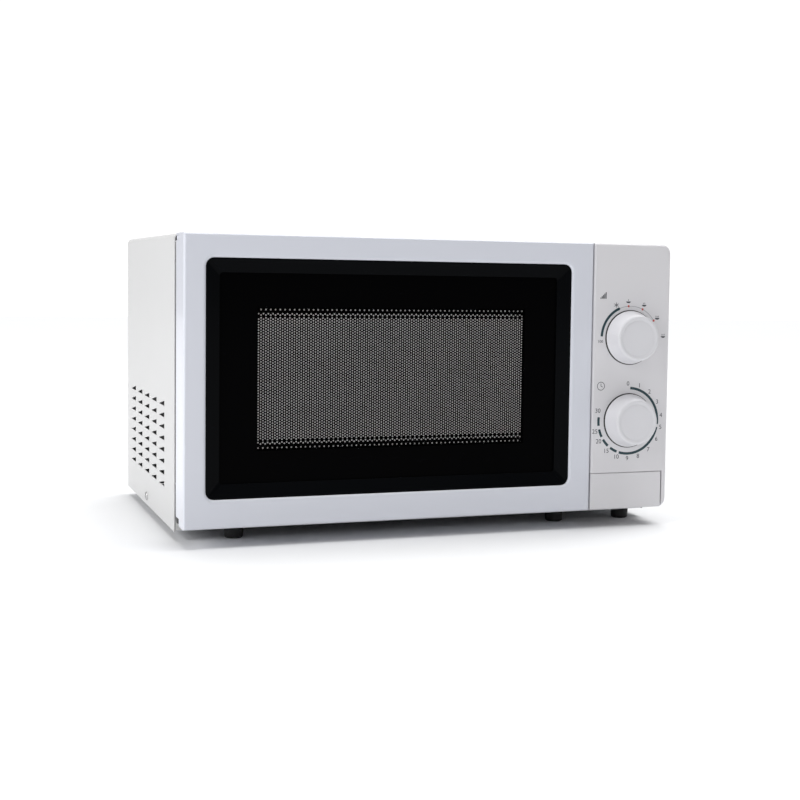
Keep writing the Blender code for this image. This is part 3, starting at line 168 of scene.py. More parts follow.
overhead = bpy.data.lights.new("overhead_light", "SUN")
overhead.energy = 2.8
overhead.angle = math.radians(56)
aimed("overhead_light", overhead, (0.27, 0.14, 1.35))
area_lamp("left_softbox", (-2.4, -0.5, 1.2), 1.4, 1.4, 40)
area_lamp("front_softbox", (0.3, -2.6, 1.9), 1.8, 1.2, 1)

# %% [markdown]
# ## Shared surface effects
# Real surfaces are never one flat value. Paint has orange peel, mouldings have a fine grain, metal is
# brushed and everything picks up a little wear, with a painted highlight along its edges. Each effect that
# several finishes use is one shader node group with named inputs and outputs, built once here. All of them
# read Object coordinates, so the pattern stays with the piece.

# %% A helper that starts a node group
def effect(name, inputs, outputs):
    """A shader node group with named sockets; gives its tree and its input and output nodes."""
    tree = bpy.data.node_groups.new(name, "ShaderNodeTree")
    kinds = {"colour": "NodeSocketColor", "value": "NodeSocketFloat", "vector": "NodeSocketVector"}
    for label, kind, start in inputs:
        socket = tree.interface.new_socket(name=label, in_out="INPUT", socket_type=kinds[kind])
        socket.default_value = start
    for label, kind in outputs:
        tree.interface.new_socket(name=label, in_out="OUTPUT", socket_type=kinds[kind])
    return tree, tree.nodes.new("NodeGroupInput"), tree.nodes.new("NodeGroupOutput")


def feed(tree, socket, given):
    """Gives an input a plain number, or a link from another node's output."""
    if isinstance(given, (int, float)):
        socket.default_value = given
    else:
        tree.links.new(given, socket)


def maths(tree, operation, first, second=0.0, clamp=False):
    """One Math node whose inputs are sockets or numbers."""
    node = tree.nodes.new("ShaderNodeMath")
    node.operation = operation
    node.use_clamp = clamp
    feed(tree, node.inputs[0], first)
    feed(tree, node.inputs[1], second)
    return node.outputs[0]


def noise(tree, vector, scale, detail):
    """A noise pattern; its mean is about one half."""
    node = tree.nodes.new("ShaderNodeTexNoise")
    node.inputs["Detail"].default_value = detail
    tree.links.new(vector, node.inputs["Vector"])
    feed(tree, node.inputs["Scale"], scale)
    return node.outputs["Fac"]


def mixed(tree, amount, first, second):
    """A colour between two sockets."""
    node = tree.nodes.new("ShaderNodeMix")
    node.data_type = "RGBA"
    tree.links.new(amount, node.inputs[0])
    tree.links.new(first, node.inputs[6])
    tree.links.new(second, node.inputs[7])
    return node.outputs[2]


def bumped(tree, height, depth):
    """A bump: depth is the height of the relief in metres."""
    node = tree.nodes.new("ShaderNodeBump")
    node.inputs["Strength"].default_value = 1.0
    tree.links.new(height, node.inputs["Height"])
    tree.links.new(depth, node.inputs["Distance"])
    return node.outputs["Normal"]


# %% [markdown]
# ### Grain
# `grain` is the workhorse: a fine relief such as orange peel or moulded texture, with a slow drift of
# colour and gloss across the piece. One noise is fine and feeds the bump; the other is sixty times coarser
# and feeds the drift.

# %% The grain group
grain, entry, leave = effect(
    "grain",
    [("Vector", "vector", (0, 0, 0)), ("Colour", "colour", (0.8, 0.8, 0.8, 1)),
     ("Shade", "colour", (0.7, 0.7, 0.7, 1)), ("Scale", "value", 900.0), ("Relief", "value", 0.00001),
     ("Roughness", "value", 0.4), ("Drift", "value", 0.08)],
    [("Colour", "colour"), ("Roughness", "value"), ("Normal", "vector")],
)
fine = noise(grain, entry.outputs["Vector"], entry.outputs["Scale"], 3.0)
slow_scale = maths(grain, "DIVIDE", entry.outputs["Scale"], 60.0)
slow = noise(grain, entry.outputs["Vector"], slow_scale, 4.0)
swing = maths(grain, "SUBTRACT", slow, 0.5)
drifted = maths(grain, "MULTIPLY", swing, entry.outputs["Drift"])
grain.links.new(mixed(grain, slow, entry.outputs["Colour"], entry.outputs["Shade"]), leave.inputs["Colour"])
gloss = maths(grain, "ADD", entry.outputs["Roughness"], maths(grain, "MULTIPLY", drifted, 2.0), True)
grain.links.new(gloss, leave.inputs["Roughness"])
grain.links.new(bumped(grain, fine, entry.outputs["Relief"]), leave.inputs["Normal"])
print("grain group:", len(grain.nodes), "nodes")

# %% [markdown]
# ### Brushing
# Rolled or brushed metal has fine lines in one direction. Stretching the coordinates before the noise turns
# its round blobs into long streaks: a small number along the streak, a large one across it.

# %% The brushing group
brushing, entry, leave = effect(
    "brushing",
    [("Vector", "vector", (0, 0, 0)), ("Stretch", "vector", (1, 60, 60)),
     ("Colour", "colour", (0.6, 0.6, 0.6, 1)), ("Shade", "colour", (0.5, 0.5, 0.5, 1)),
     ("Relief", "value", 0.000004), ("Roughness", "value", 0.35), ("Drift", "value", 0.2)],
    [("Colour", "colour"), ("Roughness", "value"), ("Normal", "vector")],
)
stretched = brushing.nodes.new("ShaderNodeVectorMath")
stretched.operation = "MULTIPLY"
brushing.links.new(entry.outputs["Vector"], stretched.inputs[0])
brushing.links.new(entry.outputs["Stretch"], stretched.inputs[1])
streaks = noise(brushing, stretched.outputs[0], 30.0, 6.0)
swing = maths(brushing, "MULTIPLY", maths(brushing, "SUBTRACT", streaks, 0.5), entry.outputs["Drift"])
between = mixed(brushing, streaks, entry.outputs["Colour"], entry.outputs["Shade"])
brushing.links.new(between, leave.inputs["Colour"])
brushing.links.new(maths(brushing, "ADD", entry.outputs["Roughness"], swing, True), leave.inputs["Roughness"])
brushing.links.new(bumped(brushing, streaks, entry.outputs["Relief"]), leave.inputs["Normal"])
print("brushing group:", len(brushing.nodes), "nodes")

# %% [markdown]
# ### Flecks
# Enamel, mica and zinc-coated steel show cells: specks of glaze, flakes or crystal spangle. A Voronoi
# pattern gives one random value to each cell. `Share` sets how many cells take the second colour.

# %% The fleck group
flecks, entry, leave = effect(
    "flecks",
    [("Vector", "vector", (0, 0, 0)), ("Colour", "colour", (0.6, 0.6, 0.6, 1)),
     ("Fleck", "colour", (0.4, 0.4, 0.4, 1)), ("Scale", "value", 400.0), ("Share", "value", 0.3),
     ("Softness", "value", 0.3), ("Roughness", "value", 0.4), ("Drift", "value", 0.1),
     ("Relief", "value", 0.000004)],
    [("Colour", "colour"), ("Roughness", "value"), ("Normal", "vector")],
)
cells = flecks.nodes.new("ShaderNodeTexVoronoi")
flecks.links.new(entry.outputs["Vector"], cells.inputs["Vector"])
flecks.links.new(entry.outputs["Scale"], cells.inputs["Scale"])
cell_value = flecks.nodes.new("ShaderNodeSeparateColor")
flecks.links.new(cells.outputs["Color"], cell_value.inputs["Color"])
over = maths(flecks, "SUBTRACT", entry.outputs["Share"], cell_value.outputs[0])
chosen = maths(flecks, "ADD", maths(flecks, "DIVIDE", over, entry.outputs["Softness"]), 0.0, True)
between = mixed(flecks, chosen, entry.outputs["Colour"], entry.outputs["Fleck"])
flecks.links.new(between, leave.inputs["Colour"])
cell_swing = maths(flecks, "SUBTRACT", cell_value.outputs[1], 0.5)
swing = maths(flecks, "MULTIPLY", cell_swing, entry.outputs["Drift"])
flecks.links.new(maths(flecks, "ADD", entry.outputs["Roughness"], swing, True), leave.inputs["Roughness"])
flecks.links.new(bumped(flecks, cell_value.outputs[2], entry.outputs["Relief"]), leave.inputs["Normal"])
print("fleck group:", len(flecks.nodes), "nodes")

# %% [markdown]
# ### Edge wear, dust and painted edge highlights
# Edges are touched and rubbed more than faces, and upward faces gather a little dust. This group takes the
# colour and roughness of a finish and changes both: it lightens edges, found by comparing the real normal
# with a rounded one, partly as wear and partly as a painted highlight; it dulls worn edges and what faces up.

# %% The group for edge wear, dust and painted edge highlights
wear_dust_and_highlight, entry, leave = effect(
    "wear_dust_and_highlight",
    [("Vector", "vector", (0, 0, 0)), ("Colour", "colour", (0.8, 0.8, 0.8, 1)), ("Roughness", "value", 0.4),
     ("Worn And Highlight", "colour", (0.9, 0.9, 0.9, 1)), ("Edge Amount", "value", 0.3), ("Dust", "value", 0.1)],
    [("Colour", "colour"), ("Roughness", "value")],
)
rounded_off = wear_dust_and_highlight.nodes.new("ShaderNodeBevel")
rounded_off.samples = 4
rounded_off.inputs["Radius"].default_value = 0.0008
surface = wear_dust_and_highlight.nodes.new("ShaderNodeNewGeometry")
compare = wear_dust_and_highlight.nodes.new("ShaderNodeVectorMath")
compare.operation = "DOT_PRODUCT"
wear_dust_and_highlight.links.new(rounded_off.outputs[0], compare.inputs[0])
wear_dust_and_highlight.links.new(surface.outputs["True Normal"], compare.inputs[1])
at_edge = maths(wear_dust_and_highlight, "MULTIPLY", maths(wear_dust_and_highlight, "SUBTRACT", 1.0, compare.outputs["Value"]), 4.0, True)
patchy = maths(wear_dust_and_highlight, "MULTIPLY", noise(wear_dust_and_highlight, entry.outputs["Vector"], 60.0, 4.0), at_edge)
wear_and_highlight = maths(wear_dust_and_highlight, "MULTIPLY", patchy, entry.outputs["Edge Amount"])
facing = wear_dust_and_highlight.nodes.new("ShaderNodeSeparateXYZ")
wear_dust_and_highlight.links.new(surface.outputs["Normal"], facing.inputs[0])
cloudy = noise(wear_dust_and_highlight, entry.outputs["Vector"], 35.0, 5.0)
upward = maths(wear_dust_and_highlight, "MULTIPLY", facing.outputs["Z"], cloudy, True)
dusty = maths(wear_dust_and_highlight, "MULTIPLY", upward, entry.outputs["Dust"])
# Lighter colour at the edges: partly wear, partly a painted highlight.
between = mixed(wear_dust_and_highlight, wear_and_highlight, entry.outputs["Colour"], entry.outputs["Worn And Highlight"])
wear_dust_and_highlight.links.new(between, leave.inputs["Colour"])
duller = maths(wear_dust_and_highlight, "ADD", entry.outputs["Roughness"], maths(wear_dust_and_highlight, "ADD", wear_and_highlight, dusty), True)
wear_dust_and_highlight.links.new(duller, leave.inputs["Roughness"])
print("handling group:", len(wear_dust_and_highlight.nodes), "nodes")

# %% [markdown]
# ## Finishes
# Each finish is one Principled material: its constant values sit on the shader's own sockets, and an effect
# group feeds the values that vary. The finishes carry the names of the material slots of the CAD model.

# %% Helpers that build a finish
FINISHES = {}


def finish(name, group, edge_wear_and_highlight=None, metallic=0.0, constants=None, **values):
    """A material whose colour, roughness and relief come from one effect group, and maybe from edge wear,
    dust and painted edge highlights.
    """
    made = bpy.data.materials.new(name)
    made.use_nodes = True
    tree = made.node_tree
    shader = tree.nodes["Principled BSDF"]
    shader.inputs["Metallic"].default_value = metallic
    for label, value in (constants or {}).items():
        shader.inputs[label].default_value = value
    place = tree.nodes.new("ShaderNodeTexCoord")
    detail = tree.nodes.new("ShaderNodeGroup")
    detail.node_tree = group
    tree.links.new(place.outputs["Object"], detail.inputs["Vector"])
    for label, value in values.items():
        detail.inputs[label].default_value = value
    last = detail
    # Edge wear and dust; the lighter edge colour is partly a painted highlight.
    if edge_wear_and_highlight:
        last = tree.nodes.new("ShaderNodeGroup")
        last.node_tree = wear_dust_and_highlight
        tree.links.new(place.outputs["Object"], last.inputs["Vector"])
        tree.links.new(detail.outputs["Colour"], last.inputs["Colour"])
        tree.links.new(detail.outputs["Roughness"], last.inputs["Roughness"])
        for label, value in edge_wear_and_highlight.items():
            last.inputs[label].default_value = value
    tree.links.new(last.outputs["Colour"], shader.inputs["Base Color"])
    tree.links.new(last.outputs["Roughness"], shader.inputs["Roughness"])
    tree.links.new(detail.outputs["Normal"], shader.inputs["Normal"])
    FINISHES[name] = made
    return made


def grey(value, warmth=0.0):
    """A neutral colour, a little warmer or cooler."""
    return (value * (1 + warmth), value, value * (1 - warmth), 1)


# %% [markdown]
# ### Paint and white mouldings
# The cabinet is steel with baked white paint: satin, with orange peel about a millimetre across. The door
# is a glossy moulding in a slightly cool white, the control panel a more neutral one, and the knobs are the
# whitest.

# %% White finishes
# Each lighter worn colour below stands for edge wear together with a painted highlight along the edges.
finish("case_paint", grain, {"Worn And Highlight": grey(0.9), "Edge Amount": 0.15, "Dust": 0.12},
       constants={"Coat Weight": 0.04, "Coat Roughness": 0.2, "Specular IOR Level": 0.35},
       Colour=grey(0.61), Shade=grey(0.604), Scale=1100.0, Relief=0.000010, Roughness=0.46, Drift=0.02)
finish("door_plastic", grain, {"Worn And Highlight": grey(0.9, -0.02), "Edge Amount": 0.10, "Dust": 0.08},
       constants={"Coat Weight": 0.25, "Coat Roughness": 0.08},
       Colour=(0.669, 0.686, 0.750, 1), Shade=(0.663, 0.680, 0.743, 1), Scale=2200.0, Relief=0.000003,
       Roughness=0.30, Drift=0.015)
finish("panel_plastic", grain, {"Worn And Highlight": grey(0.88), "Edge Amount": 0.12, "Dust": 0.08},
       constants={"Coat Weight": 0.15, "Coat Roughness": 0.15},
       Colour=(0.702, 0.693, 0.714, 1), Shade=(0.696, 0.687, 0.708, 1), Scale=2000.0, Relief=0.000005,
       Roughness=0.34, Drift=0.02)
finish("knob_plastic", grain, {"Worn And Highlight": grey(0.93), "Edge Amount": 0.18, "Dust": 0.05},
       constants={"Coat Weight": 0.2, "Coat Roughness": 0.15},
       Colour=(0.700, 0.697, 0.726, 1), Shade=(0.695, 0.692, 0.721, 1), Scale=2400.0, Relief=0.000004,
       Roughness=0.32, Drift=0.02)
print("white finishes:", sorted(FINISHES))

# %% [markdown]
# ### The dark window
# The window is a black border round a tinted sheet. A black surface shows little but what it reflects, so a
# low specular level keeps it dark in a bright room. The sheet is printed black round its edge and clear in
# the middle, where a low alpha lets the perforated screen show through. The screen is painted black and the
# film behind it is pale, so its holes read as light dots.

# %% Window finishes
finish("black_gloss", grain, {"Worn And Highlight": grey(0.03), "Edge Amount": 0.2, "Dust": 0.06},
       constants={"Specular IOR Level": 0.03},
       Colour=(0.0022, 0.0025, 0.0032, 1), Shade=(0.0016, 0.002, 0.0025, 1), Scale=500.0, Relief=0.0000006,
       Roughness=0.13, Drift=0.05)
finish("black_print", grain, constants={"Specular IOR Level": 0.012},
       Colour=(0.0011, 0.0011, 0.0013, 1), Shade=(0.0008, 0.0008, 0.001, 1), Scale=900.0, Relief=0.0,
       Roughness=0.2, Drift=0.04)
finish("window_glass", grain, constants={"Alpha": 0.12, "Specular IOR Level": 0.03},
       Colour=(0.002, 0.0025, 0.003, 1), Shade=(0.0015, 0.002, 0.0025, 1), Scale=240.0, Relief=0.0,
       Roughness=0.05, Drift=0.02)
finish("screen_paint", grain, constants={"Specular IOR Level": 0.0},
       Colour=(0.0016, 0.0016, 0.0018, 1), Shade=(0.001, 0.001, 0.001, 1), Scale=3000.0, Relief=0.0,
       Roughness=0.6, Drift=0.04)
finish("film", grain, constants={"Specular IOR Level": 0.2},
       Colour=grey(0.92), Shade=grey(0.89), Scale=800.0, Relief=0.000002, Roughness=0.5, Drift=0.05)

# %% [markdown]
# ### Metals
# Most of the inside is zinc-coated sheet with a faint crystal spangle; screws and shafts are plain steel;
# the transformer's core is a stack of dark laminations, the windings are varnished copper wire, the bell is
# brass. The faces of the case and the cooking chamber that face each other are bare steel, darkened past
# its own colour as painted shade, so the space behind the louvres reads black.

# %% Metal finishes
finish("enamel", flecks, {"Worn And Highlight": grey(0.75), "Edge Amount": 0.1, "Dust": 0.1}, constants={"Coat Weight": 0.4},
       Colour=(0.70, 0.70, 0.685, 1), Fleck=(0.55, 0.55, 0.54, 1), Scale=900.0, Share=0.10, Softness=0.08,
       Roughness=0.26, Drift=0.08, Relief=0.000004)
finish("zinc", flecks, {"Worn And Highlight": grey(0.75), "Edge Amount": 0.3, "Dust": 0.2}, metallic=1.0,
       Colour=(0.60, 0.61, 0.63, 1), Fleck=(0.50, 0.51, 0.53, 1), Scale=140.0, Share=0.5, Softness=1.0,
       Roughness=0.36, Drift=0.18, Relief=0.000003)
finish("steel", brushing, {"Worn And Highlight": grey(0.8), "Edge Amount": 0.3, "Dust": 0.1}, metallic=1.0,
       Colour=grey(0.62), Shade=grey(0.54), Stretch=(60, 60, 4), Relief=0.000003, Roughness=0.27, Drift=0.2)
finish("aluminium", brushing, {"Worn And Highlight": grey(0.85), "Edge Amount": 0.3, "Dust": 0.1}, metallic=1.0,
       Colour=grey(0.80), Shade=grey(0.72), Stretch=(4, 60, 60), Relief=0.000003, Roughness=0.30, Drift=0.2)
finish("iron", brushing, {"Worn And Highlight": grey(0.35), "Edge Amount": 0.5, "Dust": 0.2}, metallic=0.8,
       Colour=(0.13, 0.12, 0.115, 1), Shade=(0.05, 0.047, 0.045, 1), Stretch=(90, 2, 2), Relief=0.00002,
       Roughness=0.48, Drift=0.2)
finish("copper", brushing, metallic=0.9,
       Colour=(0.62, 0.25, 0.11, 1), Shade=(0.30, 0.10, 0.045, 1), Stretch=(3, 3, 70), Relief=0.00004,
       Roughness=0.32, Drift=0.2)
finish("brass", brushing, {"Worn And Highlight": (0.9, 0.75, 0.45, 1), "Edge Amount": 0.3, "Dust": 0.1}, metallic=1.0,
       Colour=(0.72, 0.52, 0.24, 1), Shade=(0.60, 0.42, 0.18, 1), Stretch=(40, 4, 40), Relief=0.000003,
       Roughness=0.28, Drift=0.2)
# Bare steel made much darker than real steel: painted shade that keeps the space behind the louvres black.
finish("bare_steel_painted_shade", brushing, {"Worn And Highlight": grey(0.3), "Edge Amount": 0.3, "Dust": 0.2}, metallic=0.7,
       Colour=grey(0.10), Shade=grey(0.06), Stretch=(60, 4, 60), Relief=0.000004, Roughness=0.5, Drift=0.2)
finish("blackened_steel", brushing, {"Worn And Highlight": grey(0.2), "Edge Amount": 0.2, "Dust": 0.1}, metallic=0.5,
       Colour=grey(0.02), Shade=grey(0.012), Stretch=(60, 60, 4), Relief=0.000003, Roughness=0.5, Drift=0.2)
print("finishes so far:", len(FINISHES))

# %% [markdown]
# ### Inner plastics, board, mica, glass and rubber
# Nylon parts have a slightly coarser moulded grain than the outside, the board is resin over glass fibre,
# mica shows pearly flakes, and the feet are soft black rubber with no gloss.

# %% Inner finishes
finish("white_plastic", grain, {"Worn And Highlight": grey(0.9), "Edge Amount": 0.2, "Dust": 0.1},
       Colour=grey(0.78), Shade=grey(0.70), Scale=1200.0, Relief=0.00001, Roughness=0.42, Drift=0.08)
finish("grey_plastic", grain, {"Worn And Highlight": grey(0.4), "Edge Amount": 0.2, "Dust": 0.1},
       Colour=grey(0.26), Shade=grey(0.20), Scale=1200.0, Relief=0.00001, Roughness=0.45, Drift=0.1)
finish("black_plastic", grain, {"Worn And Highlight": grey(0.12), "Edge Amount": 0.3, "Dust": 0.15},
       Colour=grey(0.022), Shade=grey(0.014), Scale=1200.0, Relief=0.00001, Roughness=0.42, Drift=0.1)
finish("red_plastic", grain, {"Worn And Highlight": (0.8, 0.3, 0.25, 1), "Edge Amount": 0.2, "Dust": 0.1},
       Colour=(0.52, 0.035, 0.03, 1), Shade=(0.40, 0.025, 0.02, 1), Scale=1200.0, Relief=0.00001,
       Roughness=0.40, Drift=0.1)
finish("circuit_board", flecks, {"Worn And Highlight": (0.5, 0.5, 0.3, 1), "Edge Amount": 0.2, "Dust": 0.1},
       Colour=(0.42, 0.30, 0.13, 1), Fleck=(0.33, 0.22, 0.09, 1), Scale=1200.0, Share=0.5, Softness=0.8,
       Roughness=0.40, Drift=0.1, Relief=0.000006)
finish("mica", flecks, {"Worn And Highlight": (0.85, 0.8, 0.7, 1), "Edge Amount": 0.2, "Dust": 0.1}, metallic=0.15,
       Colour=(0.62, 0.55, 0.43, 1), Fleck=(0.47, 0.40, 0.29, 1), Scale=260.0, Share=0.45, Softness=0.6,
       Roughness=0.34, Drift=0.3, Relief=0.00001)
finish("tray_glass", grain, constants={"Transmission Weight": 1.0, "IOR": 1.5},
       Colour=(0.93, 0.97, 0.96, 1), Shade=(0.90, 0.95, 0.94, 1), Scale=300.0, Relief=0.00001,
       Roughness=0.04, Drift=0.04)
finish("bulb_glass", grain, constants={"Transmission Weight": 0.9, "IOR": 1.45},
       Colour=(0.98, 0.97, 0.94, 1), Shade=(0.95, 0.94, 0.90, 1), Scale=400.0, Relief=0.000004,
       Roughness=0.06, Drift=0.04)
finish("ceramic", grain, {"Worn And Highlight": grey(0.9), "Edge Amount": 0.2, "Dust": 0.1},
       Colour=(0.80, 0.76, 0.70, 1), Shade=(0.74, 0.69, 0.62, 1), Scale=1500.0, Relief=0.00001,
       Roughness=0.5, Drift=0.1)
finish("rubber", grain, {"Worn And Highlight": grey(0.06), "Edge Amount": 0.4, "Dust": 0.25},
       constants={"Specular IOR Level": 0.35},
       Colour=grey(0.016), Shade=grey(0.010), Scale=1600.0, Relief=0.00002, Roughness=0.55, Drift=0.1)
print("finishes:", len(FINISHES))

# %% [markdown]
# ### Dress the CAD nodes
# Every CAD node already knows its material slot. Where the shape is right as it is, the node stays and only
# its finish changes, by assigning to the object's own material slot.

# %% Give every CAD node its finish
slot_of = {part["node"]: part["material_slot"] for part in frame["record"]["subparts"]}
for node, piece in frame["nodes"].items():
    for holder in piece.material_slots:
        holder.material = FINISHES[slot_of[node]]
print("dressed", len(slot_of), "nodes in", len(set(slot_of.values())), "finishes")

# %% [markdown]
# ## Finished copies
# A CAD mesh is made of loose triangles, which shade as flat facets. A finished copy welds them, joins what
# is flat into whole faces, shades soft curves smoothly and gives sharp edges a tiny bevel. The copy then
# stands for the node and rides on the same body.

# %% A helper that finishes a copy of a CAD node
body_of = {}
for body, members in frame["record"]["behaviour"]["bodies"].items():
    for node in members:
        body_of[node] = body


def adopt(piece, finish_name, *nodes, body=None):
    """The piece takes its finish and stands for CAD nodes, or rides on a named body."""
    if not piece.data.materials:
        piece.data.materials.append(FINISHES[finish_name])
    if nodes:
        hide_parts(*nodes)
    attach(piece, body or body_of[nodes[0]])
    return piece


def smooth(mesh, angle=32):
    """Smooth shading, kept sharp where two faces meet at more than the angle."""
    mesh.shade_smooth()
    mesh.set_sharp_from_angle(angle=math.radians(angle))


def finished_copy(node, bevel=0.0, angle=40, weighted=True, lip=None):
    """A welded, smooth copy of a CAD node with small bevels; lip picks edges for a wider rounding."""
    mesh = frame["nodes"][node].data.copy()
    mesh.materials.clear()
    welded = bmesh.new()
    welded.from_mesh(mesh)
    bmesh.ops.remove_doubles(welded, verts=welded.verts, dist=1e-6)
    bmesh.ops.dissolve_limit(welded, angle_limit=math.radians(0.5), verts=welded.verts, edges=welded.edges)
    if lip:
        wide, test = lip
        picked = [e for e in welded.edges if all(test(v.co) for v in e.verts)]
        print(node, "wider rounding on", len(picked), "edges")
        bmesh.ops.bevel(welded, geom=picked, offset=wide, segments=4, affect="EDGES", profile=0.5,
                        clamp_overlap=True)
    welded.to_mesh(mesh)
    welded.free()
    for layer in list(mesh.uv_layers):
        mesh.uv_layers.remove(layer)
    smooth(mesh, angle)
    piece = bpy.data.objects.new(node + "_finished", mesh)
    scene.collection.objects.link(piece)
    if bevel:
        edge = piece.modifiers.new("soft_edges", "BEVEL")
        edge.width = bevel
        edge.segments = 2
        edge.limit_method = "ANGLE"
        edge.angle_limit = math.radians(angle)
        edge.harden_normals = False
    if weighted:
        even = piece.modifiers.new("even_shading", "WEIGHTED_NORMAL")
        even.keep_sharp = True
    adopt(piece, slot_of[node], node)
    return piece


# %% [markdown]
# Some pieces are built from scratch. A bmesh is the mesh in Blender's workshop: it is filled with boxes,
# cut or bevelled, then written into an ordinary mesh. Several meshes can be gathered into one piece, as a
# row of screws is.

# %% Helpers for boxes, meshes and gathered pieces
def add_box(made, low, high):
    """Adds a box between two corners to a bmesh."""
    size = Vector(high) - Vector(low)
    matrix = Matrix.Translation((Vector(high) + Vector(low)) / 2) @ Matrix.Diagonal((*size, 1))
    bmesh.ops.create_cube(made, size=1, matrix=matrix)


def as_mesh(name, made):
    """Writes a bmesh into a new mesh and frees it."""
    mesh = bpy.data.meshes.new(name)
    made.to_mesh(mesh)
    made.free()
    return mesh


def gathered(name, meshes, finish_name, *nodes, body=None, angle=32):
    """Several meshes as one piece."""
    made = bmesh.new()
    for mesh in meshes:
        made.from_mesh(mesh)
    mesh = as_mesh(name, made)
    mesh.materials.clear()
    if angle:
        smooth(mesh, angle)
    piece = bpy.data.objects.new(name, mesh)
    scene.collection.objects.link(piece)
    return adopt(piece, finish_name, *nodes, body=body)


# %% [markdown]
# Knobs, bushes and screw heads are round, so they are turned as on a lathe: a profile of a few points is
# carried round an axis in even steps and neighbouring rings are joined. A point on the axis closes the end
# with a fan.

# %% Helpers that turn a profile
def turned(profile, centre, steps=96):
    """A closed solid turned about an axis along Y, from the front's middle to the back's middle."""
    made = bmesh.new()
    rings = []
    for radius, y in profile:
        if radius < 1e-7:
            rings.append([made.verts.new((0, y, 0))])
        else:
            angles = [2 * math.pi * i / steps for i in range(steps)]
            rings.append([made.verts.new((radius * math.cos(a), y, radius * math.sin(a))) for a in angles])
    for first, second in zip(rings, rings[1:]):
        for i in range(steps):
            j = (i + 1) % steps
            around_face = [first[i % len(first)], first[j % len(first)],
                           second[j % len(second)], second[i % len(second)]]
            unique = list(dict.fromkeys(around_face))
            if len(unique) > 2:
                made.faces.new(unique)
    bmesh.ops.remove_doubles(made, verts=made.verts, dist=1e-7)
    bmesh.ops.recalc_face_normals(made, faces=made.faces)
    mesh = as_mesh("turned", made)
    mesh.transform(Matrix.Translation(centre))
    return mesh


def arc(radius, centre, start, end, steps):
    """Points of a rounded corner, from one angle to another in degrees."""
    turns = [math.radians(start + (end - start) * i / steps) for i in range(steps + 1)]
    return [(centre[0] + radius * math.sin(a), centre[1] - radius * math.cos(a)) for a in turns]


# %% [markdown]
# ## Cabinet
# The outer case is one sheet bent over the top, with louvres stamped into its left side. Its bends are
# already in the CAD mesh, so a finished copy with smooth shading gives the soft highlight along the top
# edge. The faces that turn inwards get bare steel darkened as painted shade, so the louvres look into black;
# only the outside of the sheet is painted white.

# %% Case, panels and base
def bare_and_shaded_inside(piece, test):
    """Gives the faces that pass a test of their middle and normal the dark bare steel, darkened as painted
    shade.
    """
    piece.data.materials.append(FINISHES["bare_steel_painted_shade"])
    for face in piece.data.polygons:
        if test(face.center, face.normal):
            face.material_index = 1


case = finished_copy("outer_wrapper")
case_low, case_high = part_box("outer_wrapper")


def faces_in(middle, normal):
    """True for the inner side of the bent case: faces off its outer planes that look inward or down."""
    inside = case_low.x + 0.0006 < middle.x < case_high.x - 0.0006 and middle.z < case_high.z - 0.0006
    return inside and (normal.x * middle.x < -0.3 * abs(middle.x) or normal.z < -0.3)


# The case's inner faces take the darkened steel: painted shade behind the louvres.
bare_and_shaded_inside(case, faces_in)
for node in ("rear_panel", "base_plate", "front_plate"):
    finished_copy(node)
chamber = finished_copy("cavity_shell")
chamber_low, chamber_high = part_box("cavity_shell")
chamber_middle = (chamber_low + chamber_high) / 2
# The chamber's outer faces take the same darkened steel, painted shade.
bare_and_shaded_inside(chamber, lambda middle, normal: normal.dot(middle - chamber_middle) > 0.02)
print("cabinet sheet metal:", len(case.data.polygons), "faces in the case")

# %% [markdown]
# ## Control panel and push bar
# The control panel is a moulding with rounded front edges; the wide bar below it pushes in to open the
# door. Copies with small bevels make the thin seam between them read as a dark line between two soft edges.

# %% Control panel and push bar
MOULDED_EDGE = 0.0004
for node in ("control_panel", "door_release_button"):
    moulded = finished_copy(node, bevel=MOULDED_EDGE)
    print(node, "mm:", [round(1000 * v, 1) for v in moulded.dimensions])

# %% [markdown]
# ## Door
# The door is a moulded frame that holds a black border, a tinted sheet, a perforated metal screen and a pale
# film. The frame's copy has a wider rounding right round the window, which catches a thin light. The border
# and the cover on the door's inner side get small bevels.

# %% Door frame, border and glass
frame_low, frame_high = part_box("door_frame")
window_low, window_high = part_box("door_bezel")
LIP_REACH, LIP_ROUNDING = 0.0018, 0.0022


def on_window_edge(point):
    """True for points of the frame's front face right round the window."""
    inside_x = window_low.x - LIP_REACH < point.x < window_high.x + LIP_REACH
    inside_z = window_low.z - LIP_REACH < point.z < window_high.z + LIP_REACH
    return inside_x and inside_z and point.y < frame_low.y + 0.0001


finished_copy("door_frame", bevel=MOULDED_EDGE, lip=(LIP_ROUNDING, on_window_edge))
for node in ("door_bezel", "choke_cover"):
    finished_copy(node, bevel=0.0003)

# %% [markdown]
# A small moulded lid covers the upper hinge's notch, above the bracket's arm. It turns with the door, so
# its rear corner has the same rounding as the door's, and a block under it fills the front of the notch.

# %% Lid over the upper hinge
NOTCH_WIDTH, NOTCH_LENGTH, NOTCH_HEIGHT = 0.017, 0.020, 0.006
SLIP, ARM_GAP, DOOR_CORNER, BLOCK_LENGTH = 0.0001, 0.0004, 0.0065, 0.0056
arm_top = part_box("hinge_upper")[1].z
lid_low = Vector((frame_low.x + SLIP, frame_high.y - NOTCH_LENGTH + SLIP, arm_top + ARM_GAP))
lid_high = Vector((frame_low.x + NOTCH_WIDTH - SLIP, frame_high.y - SLIP, frame_high.z))
lid_made = bmesh.new()
add_box(lid_made, lid_low, lid_high)
rear = {v for v in lid_made.verts if v.co.x < lid_low.x + SLIP / 10 and v.co.y > lid_high.y - SLIP / 10}
upright = [e for e in lid_made.edges if rear.issuperset(e.verts)]
bmesh.ops.bevel(lid_made, geom=upright, offset=DOOR_CORNER, segments=6, affect="EDGES", profile=0.5)
upper = {v for v in lid_made.verts if v.co.z > lid_high.z - SLIP / 10}
